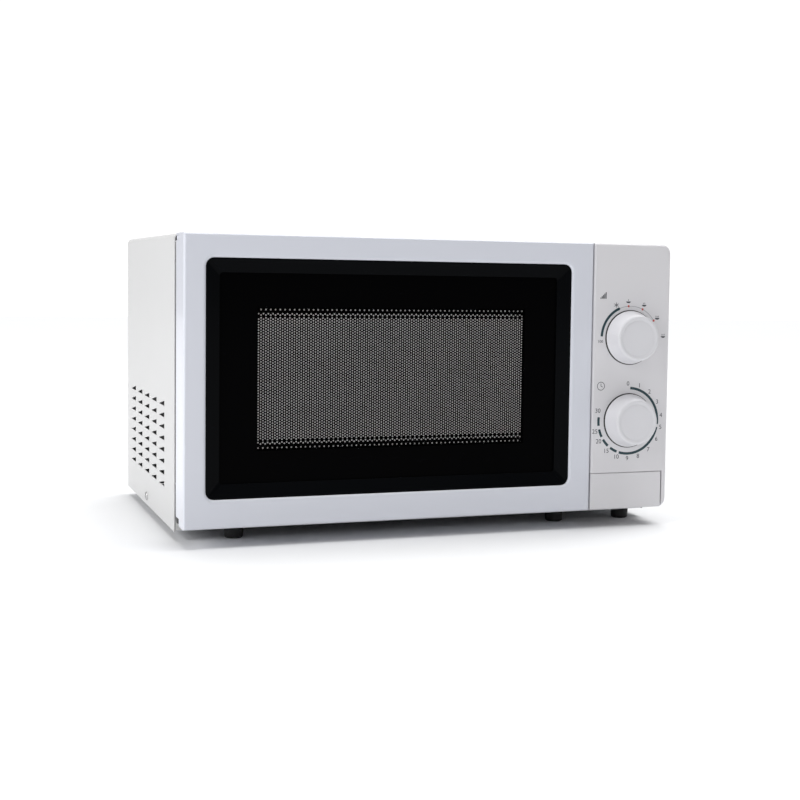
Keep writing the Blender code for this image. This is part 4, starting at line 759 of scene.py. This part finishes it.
rims = [e for e in lid_made.edges if upper.issuperset(e.verts)]
bmesh.ops.bevel(lid_made, geom=rims, offset=0.0003, segments=2, affect="EDGES", profile=0.5)
notch_floor = frame_high.z - NOTCH_HEIGHT
block_high = (lid_high.x, lid_low.y + BLOCK_LENGTH, lid_low.z - SLIP)
add_box(lid_made, (lid_low.x, lid_low.y, notch_floor + SLIP), block_high)
lid = gathered("door_hinge_lid", [as_mesh("lid", lid_made)], "door_plastic", body="door")
print("hinge lid, mm:", [round(1000 * v, 1) for v in lid.dimensions])

# %% [markdown]
# Each bracket's eye sits in a nylon bush, a disc about the hinge's axis, so it clears the door in every
# position.

# %% Hinge bushes
BUSH_RADIUS, BUSH_CHAMFER, EYE_INSET = 0.0066, 0.0003, 0.0052
for node, finish_name, low_z, high_z in (
        ("hinge_lower", "black_plastic", frame_low.z + 0.0004, frame_low.z + 0.0058),
        ("hinge_upper", "door_plastic", notch_floor + 2 * SLIP, lid_low.z - 2 * SLIP)):
    arm_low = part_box(node)[0]
    eye = Vector((arm_low.x + EYE_INSET, arm_low.y + EYE_INSET, 0))
    flat = BUSH_RADIUS - BUSH_CHAMFER
    outline = [(0, low_z), (flat, low_z), (BUSH_RADIUS, low_z + BUSH_CHAMFER),
               (BUSH_RADIUS, high_z - BUSH_CHAMFER), (flat, high_z), (0, high_z)]
    bush = turned(outline, (0, 0, 0), 48)
    bush.transform(Matrix.Translation(eye) @ Matrix.Rotation(math.radians(90), 4, "X"))
    gathered(node + "_bush", [bush], finish_name, body="cabinet")
    print(node, "bush, mm:", round(1000 * (high_z - low_z), 1), "high")

# %% [markdown]
# ### The perforated screen
# Microwaves cannot pass holes of a millimetre or so, but light can. The screen is a pan of sheet metal
# punched with thousands of holes in staggered columns. One cell with a hole is made by hand, and Geometry
# Nodes place a copy of it at every spot of the lattice, with plain cells where the pattern leaves a gap.

# %% One cell of the screen
HOLES_X0, HOLES_X1 = -0.1569, 0.0782
HOLES_LOW, HOLES_HIGH = 0.0805, 0.1952
HOLE_COLUMNS = 118
HALF_ROWS = 101
PITCH_X = (HOLES_X1 - HOLES_X0) / (HOLE_COLUMNS - 1)
HALF_PITCH = (HOLES_HIGH - HOLES_LOW) / HALF_ROWS
HOLE_RADIUS = 0.00072
PLATE = 0.00025


def hidden_part(name, made):
    """Turns a bmesh into an object outside the scene: a pattern for Geometry Nodes or a cutting tool."""
    return bpy.data.objects.new(name, as_mesh(name, made))


def screen_cell(name, radius):
    """A flat rectangle that faces the front, with an eight-sided hole if the radius is not zero."""
    made = bmesh.new()
    half_x, half_z = PITCH_X / 2, HALF_PITCH
    outer = [made.verts.new((x, 0, z)) for x, z in
               ((half_x, half_z), (-half_x, half_z), (-half_x, -half_z), (half_x, -half_z))]
    if not radius:
        made.faces.new(outer)
    else:
        turn = [math.radians(22.5 + 45 * i) for i in range(8)]
        front = [made.verts.new((radius * math.cos(a), 0, radius * math.sin(a))) for a in turn]
        back = [made.verts.new((v.co.x, PLATE, v.co.z)) for v in front]
        for i, corner in enumerate(outer):
            first, second = front[2 * i], front[2 * i + 1]
            made.faces.new((corner, second, first))
            made.faces.new((corner, outer[(i + 1) % 4], front[(2 * i + 2) % 8], second))
        for i in range(8):
            made.faces.new((front[i], front[(i + 1) % 8], back[(i + 1) % 8], back[i]))
    for face in made.faces:
        face.normal_update()
        if face.normal.y > 0.5:
            face.normal_flip()
    return hidden_part(name, made)


holed_cell = screen_cell("holed_cell", HOLE_RADIUS)
plain_cell = screen_cell("plain_cell", 0)
print("cells:", len(holed_cell.data.polygons), "and", len(plain_cell.data.polygons), "faces")

# %% [markdown]
# The tree counts points 0, 1, 2... and works out each one's column and row from its number. Every second
# column is half a step lower. The top and bottom rows stand alone, so the rule marks which half-rows have
# no hole, counted from both ends.

# %% The lattice tree
def node_tree(name, inputs):
    """A geometry node tree with named inputs and one geometry output."""
    tree = bpy.data.node_groups.new(name, "GeometryNodeTree")
    kinds = {"number": "NodeSocketFloat", "count": "NodeSocketInt", "object": "NodeSocketObject",
             "material": "NodeSocketMaterial", "vector": "NodeSocketVector"}
    for label, kind in inputs:
        tree.interface.new_socket(name=label, in_out="INPUT", socket_type=kinds[kind])
    tree.interface.new_socket(name="Geometry", in_out="OUTPUT", socket_type="NodeSocketGeometry")
    return tree, tree.nodes.new("NodeGroupInput"), tree.nodes.new("NodeGroupOutput")


def combine_xyz(tree, x=0.0, y=0.0, z=0.0):
    """A vector from sockets or numbers."""
    node = tree.nodes.new("ShaderNodeCombineXYZ")
    for socket, given in zip(node.inputs, (x, y, z)):
        feed(tree, socket, given)
    return node.outputs[0]


def close_tree(tree, geometry, finish_socket, leave):
    """Real geometry and its material, as the last two steps."""
    real = tree.nodes.new("GeometryNodeRealizeInstances")
    paint = tree.nodes.new("GeometryNodeSetMaterial")
    tree.links.new(geometry, real.inputs[0])
    tree.links.new(real.outputs[0], paint.inputs["Geometry"])
    tree.links.new(finish_socket, paint.inputs["Material"])
    tree.links.new(paint.outputs[0], leave.inputs[0])


def instances(tree, points, pattern, selection=None, turn=None):
    """The object in a socket, placed and maybe turned on every selected point."""
    source = tree.nodes.new("GeometryNodeObjectInfo")
    tree.links.new(pattern, source.inputs["Object"])
    placed = tree.nodes.new("GeometryNodeInstanceOnPoints")
    tree.links.new(points, placed.inputs["Points"])
    tree.links.new(source.outputs["Geometry"], placed.inputs["Instance"])
    if selection is not None:
        tree.links.new(selection, placed.inputs["Selection"])
    if turn is not None:
        tree.links.new(turn, placed.inputs["Rotation"])
    return placed.outputs[0]


HALF_ROWS_WITHOUT_HOLES = (-1.0, 1.0, 2.0, 5.0)
lattice, entry, leave = node_tree(
    "screen_lattice",
    [("Columns", "count"), ("Half Rows", "count"), ("Pitch X", "number"), ("Half Pitch", "number"),
     ("Holed Cell", "object"), ("Plain Cell", "object"), ("Finish", "material")],
)
number = lattice.nodes.new("GeometryNodeInputIndex").outputs[0]
column = maths(lattice, "MODULO", number, entry.outputs["Columns"])
past = maths(lattice, "ADD", number, 0.5)
row = maths(lattice, "FLOOR", maths(lattice, "DIVIDE", past, entry.outputs["Columns"]))
raised_column = maths(lattice, "MODULO", maths(lattice, "ADD", column, 1.0), 2.0)
half_row = maths(lattice, "SUBTRACT", maths(lattice, "MULTIPLY", row, 2.0), raised_column)
from_end = maths(lattice, "SUBTRACT", entry.outputs["Half Rows"], half_row)
across = maths(lattice, "MULTIPLY", column, entry.outputs["Pitch X"])
down = maths(lattice, "MULTIPLY", half_row, maths(lattice, "MULTIPLY", entry.outputs["Half Pitch"], -1.0))
rows_each = maths(lattice, "DIVIDE", maths(lattice, "ADD", entry.outputs["Half Rows"], 3.0), 2.0)
total = maths(lattice, "MULTIPLY", entry.outputs["Columns"], rows_each)
spots = lattice.nodes.new("GeometryNodePoints")
lattice.links.new(total, spots.inputs["Count"])
lattice.links.new(combine_xyz(lattice, across, 0.0, down), spots.inputs["Position"])
missing = 0.0
for distance in HALF_ROWS_WITHOUT_HOLES:
    for counted in (half_row, from_end):
        off = maths(lattice, "ABSOLUTE", maths(lattice, "SUBTRACT", counted, distance))
        missing = maths(lattice, "ADD", missing, maths(lattice, "LESS_THAN", off, 0.25))
plain_spot = maths(lattice, "GREATER_THAN", missing, 0.5)
holed_spot = maths(lattice, "LESS_THAN", missing, 0.5)
both = lattice.nodes.new("GeometryNodeJoinGeometry")
for cell, here in (("Plain Cell", plain_spot), ("Holed Cell", holed_spot)):
    lattice.links.new(instances(lattice, spots.outputs[0], entry.outputs[cell], here), both.inputs[0])
close_tree(lattice, both.outputs[0], entry.outputs["Finish"], leave)
print("lattice tree:", len(lattice.nodes), "nodes")

# %% [markdown]
# To run a tree, it goes on a carrier object as a modifier. Its inputs are set by each socket's identifier,
# and the evaluated result is copied out as a plain mesh, so nothing live is left behind.

# %% A helper that runs a tree
def grown(tree, **values):
    """The plain mesh that a geometry node tree makes with these inputs."""
    carrier = bpy.data.objects.new("carrier", bpy.data.meshes.new("carrier"))
    scene.collection.objects.link(carrier)
    run = carrier.modifiers.new("run", "NODES")
    run.node_group = tree
    wanted = {label.replace("_", " "): value for label, value in values.items()}
    for item in tree.interface.items_tree:
        if item.item_type == "SOCKET" and item.in_out == "INPUT":
            run[item.identifier] = wanted.pop(item.name)
    assert not wanted, wanted
    depsgraph = bpy.context.evaluated_depsgraph_get()
    mesh = bpy.data.meshes.new_from_object(carrier.evaluated_get(depsgraph))
    carrier.modifiers.clear()
    bpy.data.objects.remove(carrier)
    return mesh


# %% Punch the screen
punched = grown(lattice, Columns=HOLE_COLUMNS, Half_Rows=HALF_ROWS, Pitch_X=PITCH_X, Half_Pitch=HALF_PITCH,
                Holed_Cell=holed_cell, Plain_Cell=plain_cell, Finish=FINISHES["screen_paint"])
pan_low, pan_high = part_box("door_screen")
punched.transform(Matrix.Translation((HOLES_X0, pan_low.y - 0.00005, HOLES_HIGH)))
print("punched sheet:", len(punched.polygons), "faces")

# %% [markdown]
# The tinted sheet is printed black round the lattice. Four planes cut its faces along the lattice's edges,
# and the faces outside them take the print.

# %% The sheet and its printed border
CLEAR_X, CLEAR_Z = 0.0015, 0.0020
glass = finished_copy("door_glass")
sheet = bmesh.new()
sheet.from_mesh(glass.data)
clear_low = Vector((HOLES_X0 - CLEAR_X, 0, HOLES_LOW - CLEAR_Z))
clear_high = Vector((HOLES_X1 + CLEAR_X, 0, HOLES_HIGH + CLEAR_Z))
for limit in (clear_low, clear_high):
    for direction in (Vector((1, 0, 0)), Vector((0, 0, 1))):
        everything = sheet.faces[:] + sheet.edges[:] + sheet.verts[:]
        bmesh.ops.bisect_plane(sheet, geom=everything, plane_co=limit, plane_no=direction)
for face in sheet.faces:
    centre = face.calc_center_median()
    over_lattice = clear_low.x < centre.x < clear_high.x and clear_low.z < centre.z < clear_high.z
    face.material_index = 0 if over_lattice else 1
sheet.to_mesh(glass.data)
sheet.free()
glass.data.materials.append(FINISHES["black_print"])
print("sheet:", len(glass.data.polygons), "faces")

# %% [markdown]
# The pan round the holes is a copy of the CAD pan with a rectangular opening cut by a Boolean. The opening
# is a little smaller than the punched sheet, which lies just in front of it, so no light leaks round its
# edge.

# %% The pan of the screen
pan = finished_copy("door_screen", weighted=False)
opening = bmesh.new()
add_box(opening, (HOLES_X0 - PITCH_X * 0.45, pan_low.y - 0.01, HOLES_LOW - HALF_PITCH * 0.9),
        (HOLES_X1 + PITCH_X * 0.45, pan_high.y + 0.01, HOLES_HIGH + HALF_PITCH * 0.9))
cutter = hidden_part("screen_opening", opening)
scene.collection.objects.link(cutter)
cut = pan.modifiers.new("opening", "BOOLEAN")
cut.operation = "DIFFERENCE"
cut.solver = "EXACT"
cut.object = cutter
pan_mesh = bpy.data.meshes.new_from_object(pan.evaluated_get(bpy.context.evaluated_depsgraph_get()))
pan.modifiers.clear()
bpy.data.objects.remove(cutter)
bpy.data.objects.remove(pan)
for face in pan_mesh.polygons:
    face.use_smooth = False
screen = gathered("perforated_screen", [pan_mesh, punched], "screen_paint", "door_screen", angle=None)
print("screen:", sum(len(f.vertices) - 2 for f in screen.data.polygons), "triangles")

# %% [markdown]
# The pale film is pressed into the opening and lies close behind the holes, so they stay light when seen
# from the side. It is a thin sheet with rounded corners and a raised field.

# %% The film behind the screen
film_low, film_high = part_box("door_inner_film")
FILM_CORNER = 0.003
thin = bmesh.new()
add_box(thin, film_low, film_high)
short_edges = [e for e in thin.edges if abs(e.verts[0].co.y - e.verts[1].co.y) > 1e-5]
bmesh.ops.bevel(thin, geom=short_edges, offset=FILM_CORNER, segments=4, affect="EDGES", profile=0.5)
raised = bmesh.new()
add_box(raised, (HOLES_X0 - PITCH_X * 0.4, pan_low.y + PLATE, HOLES_LOW - HALF_PITCH * 0.8),
        (HOLES_X1 + PITCH_X * 0.4, film_low.y, HOLES_HIGH + HALF_PITCH * 0.8))
film_meshes = [as_mesh("thin_film", thin), as_mesh("raised_film", raised)]
film = gathered("pale_film", film_meshes, "film", "door_inner_film")
print("film, mm:", [round(1000 * v, 1) for v in film.dimensions])

# %% [markdown]
# ## Knobs
# A knob is a broad cone with a soft shoulder and a shallow dish in its face. It is turned like the bushes,
# in finer steps. Its profile is five short runs, from the middle of the dish to the middle of the back.

# %% The two knobs
for name in ("power_knob", "timer_knob"):
    low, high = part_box(name)
    axis = Vector(((low.x + high.x) / 2, 0, (low.z + high.z) / 2))
    face, base, wide = low.y, high.y, (high.x - low.x) / 2
    dish = [(0, face + 0.0007), (0.0145, face + 0.0007)] + arc(0.004, (0.0150, face + 0.0047), 0, 14, 3)
    rim = [(0.0174, face + 0.0001)] + arc(0.0028, (0.0180, face + 0.0028), 5, 62, 8)
    side = [(wide - 0.0011, base - 0.0040), (wide - 0.0006, base - 0.0022)]
    foot = arc(0.0008, (wide - 0.0008, base - 0.0009), 70, 150, 5)
    under = [(wide - 0.0022, base - 0.0003), (0.0, base)]
    whole = turned(dish + rim + side + foot + under, axis)
    gathered(name + "_turned", [whole], "knob_plastic", name, angle=50)
    print(name, "axis, mm:", [round(1000 * v, 1) for v in axis])

# %% [markdown]
# Behind each knob the panel has a shallow round recess, whose shade shows as a thin dark line beside the
# knob's foot. A low black ring that stands just proud of the panel is painted shade that gives that line. Its
# profile is a closed loop, not a run from the axis, so the ring stays open in the middle, and its first and
# last rings are merged.

# %% Painted shade rings behind the knobs
panel_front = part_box("control_panel")[0].y
for name in ("power_knob", "timer_knob"):
    low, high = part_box(name)
    axis = Vector(((low.x + high.x) / 2, 0, (low.z + high.z) / 2))
    wide = (high.x - low.x) / 2
    top, bottom = panel_front - 0.00012, panel_front - 0.00002
    loop = [(wide - 0.003, top), (wide + 0.0006, top), (wide + 0.0008, bottom), (wide - 0.003, bottom),
            (wide - 0.003, top)]
    # A black ring just proud of the panel: painted shade of the recess round the knob.
    gathered(name + "_recess", [turned(loop, axis)], "black_plastic", body="cabinet")
print("ring height, mm:", round(1000 * (bottom - top), 2))

# %% [markdown]
# ## Printed dials
# The dial marks are printed on the panel. Print has almost no thickness, so each mark is a strip six
# hundredths of a millimetre high. Arcs follow a circle, so a small tree sweeps a flat profile along an arc
# curve.

# %% The arc tree
strip, entry, leave = node_tree(
    "printed_arc", [("Radius", "number"), ("Start", "number"), ("Sweep", "number"), ("Width", "number"),
                    ("Thickness", "number"), ("Finish", "material")])
path = strip.nodes.new("GeometryNodeCurveArc")
path.inputs["Resolution"].default_value = 64
strip.links.new(entry.outputs["Radius"], path.inputs["Radius"])
strip.links.new(entry.outputs["Start"], path.inputs["Start Angle"])
strip.links.new(entry.outputs["Sweep"], path.inputs["Sweep Angle"])
section = strip.nodes.new("GeometryNodeCurvePrimitiveQuadrilateral")
strip.links.new(entry.outputs["Width"], section.inputs["Width"])
strip.links.new(entry.outputs["Thickness"], section.inputs["Height"])
swept = strip.nodes.new("GeometryNodeCurveToMesh")
swept.inputs["Fill Caps"].default_value = True
strip.links.new(path.outputs["Curve"], swept.inputs["Curve"])
strip.links.new(section.outputs[0], swept.inputs["Profile Curve"])
close_tree(strip, swept.outputs[0], entry.outputs["Finish"], leave)
print("arc tree:", len(strip.nodes), "nodes")

# %% [markdown]
# Print colours: a dark blue-green for the thick arcs, dark grey for numbers and signs, pale grey for the
# thin arc and red for three small dots. Ink is slightly uneven, so it takes the grain group too.

# %% Inks
for ink, dark, light in (
        ("ink_teal", (0.008, 0.036, 0.046, 1), (0.012, 0.046, 0.058, 1)),
        ("ink_grey", (0.030, 0.034, 0.042, 1), (0.045, 0.05, 0.06, 1)),
        ("ink_pale", (0.33, 0.34, 0.36, 1), (0.40, 0.41, 0.43, 1)),
        ("ink_red", (0.62, 0.07, 0.05, 1), (0.70, 0.12, 0.09, 1))):
    finish(ink, grain, Colour=dark, Shade=light, Scale=2500.0, Relief=0.000003, Roughness=0.45, Drift=0.1)
print("finishes with inks:", len(FINISHES))

# %% [markdown]
# ### Drawing with print
# Every mark is drawn flat and centred first, then stood up against the panel and moved to its place. Arcs
# come from the arc tree, dots, lines and bowls from closed outlines, and numbers from a text curve turned
# into a mesh.

# %% Helpers that print marks
PRINT_HIGH = 0.00006


def on_panel(mesh, centre):
    """Stands a flat drawing up against the panel's front, centred on a point of it."""
    mesh.transform(Matrix.Translation((centre[0], panel_front - PRINT_HIGH / 2, centre[1]))
                   @ Matrix.Rotation(math.radians(90), 4, "X"))
    return mesh


def printed_arc(centre, radius, start, end, width):
    """An arc between two clock angles in degrees, clockwise from the top."""
    mesh = grown(strip, Radius=radius, Start=math.radians(90 - end), Sweep=math.radians(end - start),
                 Width=width, Thickness=PRINT_HIGH, Finish=FINISHES["ink_teal"])
    return on_panel(mesh, centre)


def clock_point(centre, radius, angle):
    """The point of a dial at a clock angle."""
    turn = math.radians(angle)
    return (centre[0] + radius * math.sin(turn), centre[1] + radius * math.cos(turn))


def flat_shape(points):
    """A closed flat outline with the print's thickness, drawn in its own plane."""
    made = bmesh.new()
    face = made.faces.new([made.verts.new((x, y, -PRINT_HIGH / 2)) for x, y in points])
    face.normal_update()
    if face.normal.z > 0:
        face.normal_flip()
    raised = bmesh.ops.extrude_face_region(made, geom=[face])
    for vertex in raised["geom"]:
        if isinstance(vertex, bmesh.types.BMVert):
            vertex.co.z += PRINT_HIGH
    bmesh.ops.recalc_face_normals(made, faces=made.faces)
    return as_mesh("flat", made)


def dot(centre, radius):
    """A round printed dot."""
    turns = [2 * math.pi * i / 20 for i in range(20)]
    return on_panel(flat_shape([(radius * math.cos(a), radius * math.sin(a)) for a in turns]), centre)


def stroke(centre, start, end, width):
    """A straight printed line between two points given from a centre."""
    a, b = Vector(start), Vector(end)
    side = (b - a).orthogonal().normalized() * width / 2
    return on_panel(flat_shape([a + side, b + side, b - side, a - side]), centre)


def number_print(text, centre, size):
    """A number, centred on a point."""
    letters = bpy.data.curves.new("number", "FONT")
    letters.body = text
    letters.size = size
    letters.align_x = "CENTER"
    letters.align_y = "CENTER"
    letters.extrude = PRINT_HIGH / 2
    letters.resolution_u = 3
    carrier = bpy.data.objects.new("number", letters)
    scene.collection.objects.link(carrier)
    mesh = bpy.data.meshes.new_from_object(carrier.evaluated_get(bpy.context.evaluated_depsgraph_get()))
    bpy.data.objects.remove(carrier)
    return on_panel(mesh, centre)


# %% [markdown]
# ### Timer dial
# The timer's scale runs clockwise from 0 to 30 minutes. One minute takes more room up to ten, so the
# numbers are not evenly spaced: the list gives each number's clock angle. Print is rarely dead centre, so the
# arcs and the numbers each have a middle a few tenths of a millimetre off the knob's axis.

# %% The timer dial
low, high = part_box("timer_knob")
timer = ((low.x + high.x) / 2, (low.z + high.z) / 2)
ARC_RADIUS, ARC_WIDTH = 0.0298, 0.0023
scale_middle = (timer[0] - 0.0001, timer[1] - 0.0004)
number_middle = (timer[0] - 0.0003, timer[1] - 0.0007)
arcs = [printed_arc(scale_middle, ARC_RADIUS, *ends, ARC_WIDTH)
        for ends in ((3, 97), (102, 197), (201.5, 216), (222, 236.5), (242, 256), (262.5, 277.5))]
gathered("timer_scale", arcs, "ink_teal", body="cabinet")
NUMBER_RADIUS, NUMBER_SIZE = 0.0341, 0.0056
places = {"0": -1, "1": 19, "2": 39, "3": 60, "4": 82, "5": 100.5, "6": 120, "7": 141, "8": 161, "9": 180,
          "10": 199, "15": 218.6, "20": 238.5, "25": 255}
numbers = [number_print(text, clock_point(number_middle, NUMBER_RADIUS, angle), NUMBER_SIZE)
           for text, angle in places.items()]
numbers.append(number_print("30", clock_point(number_middle, 0.0320, 288), NUMBER_SIZE))
gathered("timer_numbers", numbers, "ink_grey", body="cabinet")
print("timer dial:", len(arcs), "arcs,", len(numbers), "numbers")

# %% [markdown]
# ### Power dial
# The power scale is one thick arc with an end dot, a thin arc with three red dots, and small signs for each
# use: a snow star for thawing and plain bowls with steam for warming, all drawn from strokes.

# %% The power dial
low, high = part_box("power_knob")
power = ((low.x + high.x) / 2, (low.z + high.z) / 2)
POWER_RADIUS = 0.0283
thick = [printed_arc(power, POWER_RADIUS, 272, 334, ARC_WIDTH),
         dot(clock_point(power, POWER_RADIUS, 335.5), 0.0013)]
gathered("power_scale", thick, "ink_teal", body="cabinet")
gathered("power_thin_scale", [printed_arc(power, POWER_RADIUS, 338, 417, 0.0005)], "ink_pale", body="cabinet")
red = [dot(clock_point(power, POWER_RADIUS, angle), 0.0010) for angle in (-4, 25.5, 57)]
gathered("power_dots", red, "ink_red", body="cabinet")


def snow_star(centre, size):
    """Three crossed strokes."""
    made = []
    for angle in (0, 60, 120):
        tip = Vector((math.sin(math.radians(angle)), math.cos(math.radians(angle)))) * size / 2
        made.append(stroke(centre, -tip, tip, 0.0005))
    return made


def bowl(centre, size, steam):
    """A half-round bowl with short lines of steam over it."""
    turns = [math.radians(180 + 15 * i) for i in range(13)]
    half = [(size / 2 * math.cos(a), size / 3 * math.sin(a)) for a in turns]
    made = [on_panel(flat_shape(half), centre)]
    for i in range(steam):
        x = (i - (steam - 1) / 2) * size * 0.28
        made.append(stroke(centre, (x, size * 0.12), (x, size * 0.45), 0.0004))
    return made


signs = snow_star(clock_point(power, 0.0325, 334), 0.0047)
for angle, radius, steam in ((-4, 0.0326, 1), (25, 0.0326, 2), (57, 0.0326, 3), (88, 0.0338, 3)):
    signs += bowl(clock_point(power, radius, angle), 0.0045, steam)
bars = (power[0] - 0.027, power[1] + 0.0378)
for i in range(5):
    x = 0.0013 * i - 0.003
    signs.append(stroke(bars, (x, -0.003), (x, -0.002 + 0.0012 * i), 0.0009))
signs.append(number_print("100", clock_point(power, 0.0298, 263), 0.0036))
clock = (timer[0] - 0.0281, timer[1] + 0.0315)
signs.append(printed_arc(clock, 0.0036, 0, 359.9, 0.0005))
signs.append(stroke(clock, (0, 0), (0, 0.0024), 0.0005))
signs.append(stroke(clock, (0, 0), (0.0017, -0.0008), 0.0005))
gathered("panel_signs", signs, "ink_grey", body="cabinet")
print("signs:", len(signs), "strokes")

# %% [markdown]
# ## Screws
# The case is held by a pan-head screw low on each side, and sheet-metal screws hold the rear panel. One
# head with a cross recess is made once and placed by a small tree at every screw's position.

# %% One screw head
def screw_head(radius, height):
    """A domed head that faces -Y, with a cross-shaped recess."""
    turns = [math.radians(a) for a in (20, 40, 60, 78, 90)]
    slope = [(radius * math.sin(a), -height * (0.25 + 0.75 * math.cos(a))) for a in turns]
    outline = [(0, -height), *slope, (radius, 0), (0, 0)]
    head = bpy.data.objects.new("screw_head", turned(outline, (0, 0, 0), 28))
    scene.collection.objects.link(head)
    long, short = radius * 0.55, radius * 0.12
    for half_x, half_z in ((long, short), (short, long)):
        bar = bmesh.new()
        add_box(bar, (-half_x, -height * 1.5, -half_z), (half_x, -height * 0.45, half_z))
        cutter = hidden_part("cross", bar)
        scene.collection.objects.link(cutter)
        cut = head.modifiers.new("cross", "BOOLEAN")
        cut.solver = "EXACT"
        cut.object = cutter
        mesh = bpy.data.meshes.new_from_object(head.evaluated_get(bpy.context.evaluated_depsgraph_get()))
        head.modifiers.clear()
        head.data = mesh
        bpy.data.objects.remove(cutter)
    scene.collection.objects.unlink(head)
    return head


head = screw_head(0.0040, 0.0020)
print("screw head:", len(head.data.polygons), "faces")

# %% The screw tree
screws, entry, leave = node_tree(
    "screw_row", [("Head", "object"), ("Count", "count"), ("Start", "vector"), ("Step", "vector"),
                  ("Turn", "number"), ("Finish", "material")])
order = screws.nodes.new("GeometryNodeInputIndex").outputs[0]
step = screws.nodes.new("ShaderNodeVectorMath")
step.operation = "SCALE"
screws.links.new(entry.outputs["Step"], step.inputs[0])
screws.links.new(order, step.inputs["Scale"])
here = screws.nodes.new("ShaderNodeVectorMath")
here.operation = "ADD"
screws.links.new(entry.outputs["Start"], here.inputs[0])
screws.links.new(step.outputs[0], here.inputs[1])
row_points = screws.nodes.new("GeometryNodePoints")
screws.links.new(entry.outputs["Count"], row_points.inputs["Count"])
screws.links.new(here.outputs[0], row_points.inputs["Position"])
turn = combine_xyz(screws, 0.0, 0.0, entry.outputs["Turn"])
heads = instances(screws, row_points.outputs[0], entry.outputs["Head"], turn=turn)
close_tree(screws, heads, entry.outputs["Finish"], leave)
print("screw tree:", len(screws.nodes), "nodes")

# %% Side and rear screws
for node, angle, side_x in (
        ("wrapper_screw_left", -90, case_low.x), ("wrapper_screw_right", 90, case_high.x)):
    low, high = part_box(node)
    centre = (low + high) / 2
    centre.x = side_x
    one = grown(screws, Head=head, Count=1, Start=centre, Step=Vector((0, 0, 0)), Turn=math.radians(angle),
                Finish=FINISHES["steel"])
    gathered(node + "_head", [one], "steel", node)
ROW_INSET, ROW_END, ROW_COUNT = 0.012, 0.03, 3
rear_low, rear_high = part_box("rear_panel")
row_step = Vector((0, 0, (rear_high.z - rear_low.z - 2 * ROW_END) / (ROW_COUNT - 1)))
rows = []
for x in (rear_low.x + ROW_INSET, rear_high.x - ROW_INSET):
    lowest = Vector((x, rear_high.y, rear_low.z + ROW_END))
    rows.append(grown(screws, Head=head, Count=ROW_COUNT, Start=lowest, Step=row_step,
                      Turn=math.radians(180), Finish=FINISHES["steel"]))
gathered("rear_screws", rows, "steel", body="cabinet")
print("rear screws:", ROW_COUNT * len(rows))

# %% [markdown]
# ## Turntable
# The tray is pressed glass: a flat plate with a raised rim, a step for the roller track and a boss
# underneath that the coupler holds. It rests on the wheels of the roller ring. All of these keep their CAD
# shape, welded and shaded smoothly.

# %% Glass tray, ring and wheels
wheels = [node for node in slot_of if node.startswith("roller_wheel")]
for node in ("glass_tray", "roller_ring", *wheels, "turntable_coupler"):
    finished_copy(node, angle=35)
print("wheels under the ring:", len(wheels))

# %% [markdown]
# ## Feet, lamp, gland and inner parts
# What is left keeps its CAD shape. Copies with soft edges are made of the pieces that can be seen from
# outside or with the door open; everything deeper inside only needs its finish.

# %% Feet and small outer parts
feet = [node for node in slot_of if node.startswith("foot_")]
for node in feet:
    finished_copy(node, bevel=0.0005)
for node in ("cord_gland", "door_latch", "waveguide_cover"):
    finished_copy(node, bevel=0.0002)
for node, finish_name in (("hinge_lower", "blackened_steel"), ("hinge_upper", "case_paint")):
    bracket = finished_copy(node, bevel=0.0002)
    bracket.data.materials[0] = FINISHES[finish_name]
print("feet:", len(feet))

# %% [markdown]
# The push bar's return spring, which shortens as the bar goes in, gets a finished copy with a mesh of its
# own.

# %% The return spring
spring = finished_copy("button_spring", weighted=False)
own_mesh(spring)
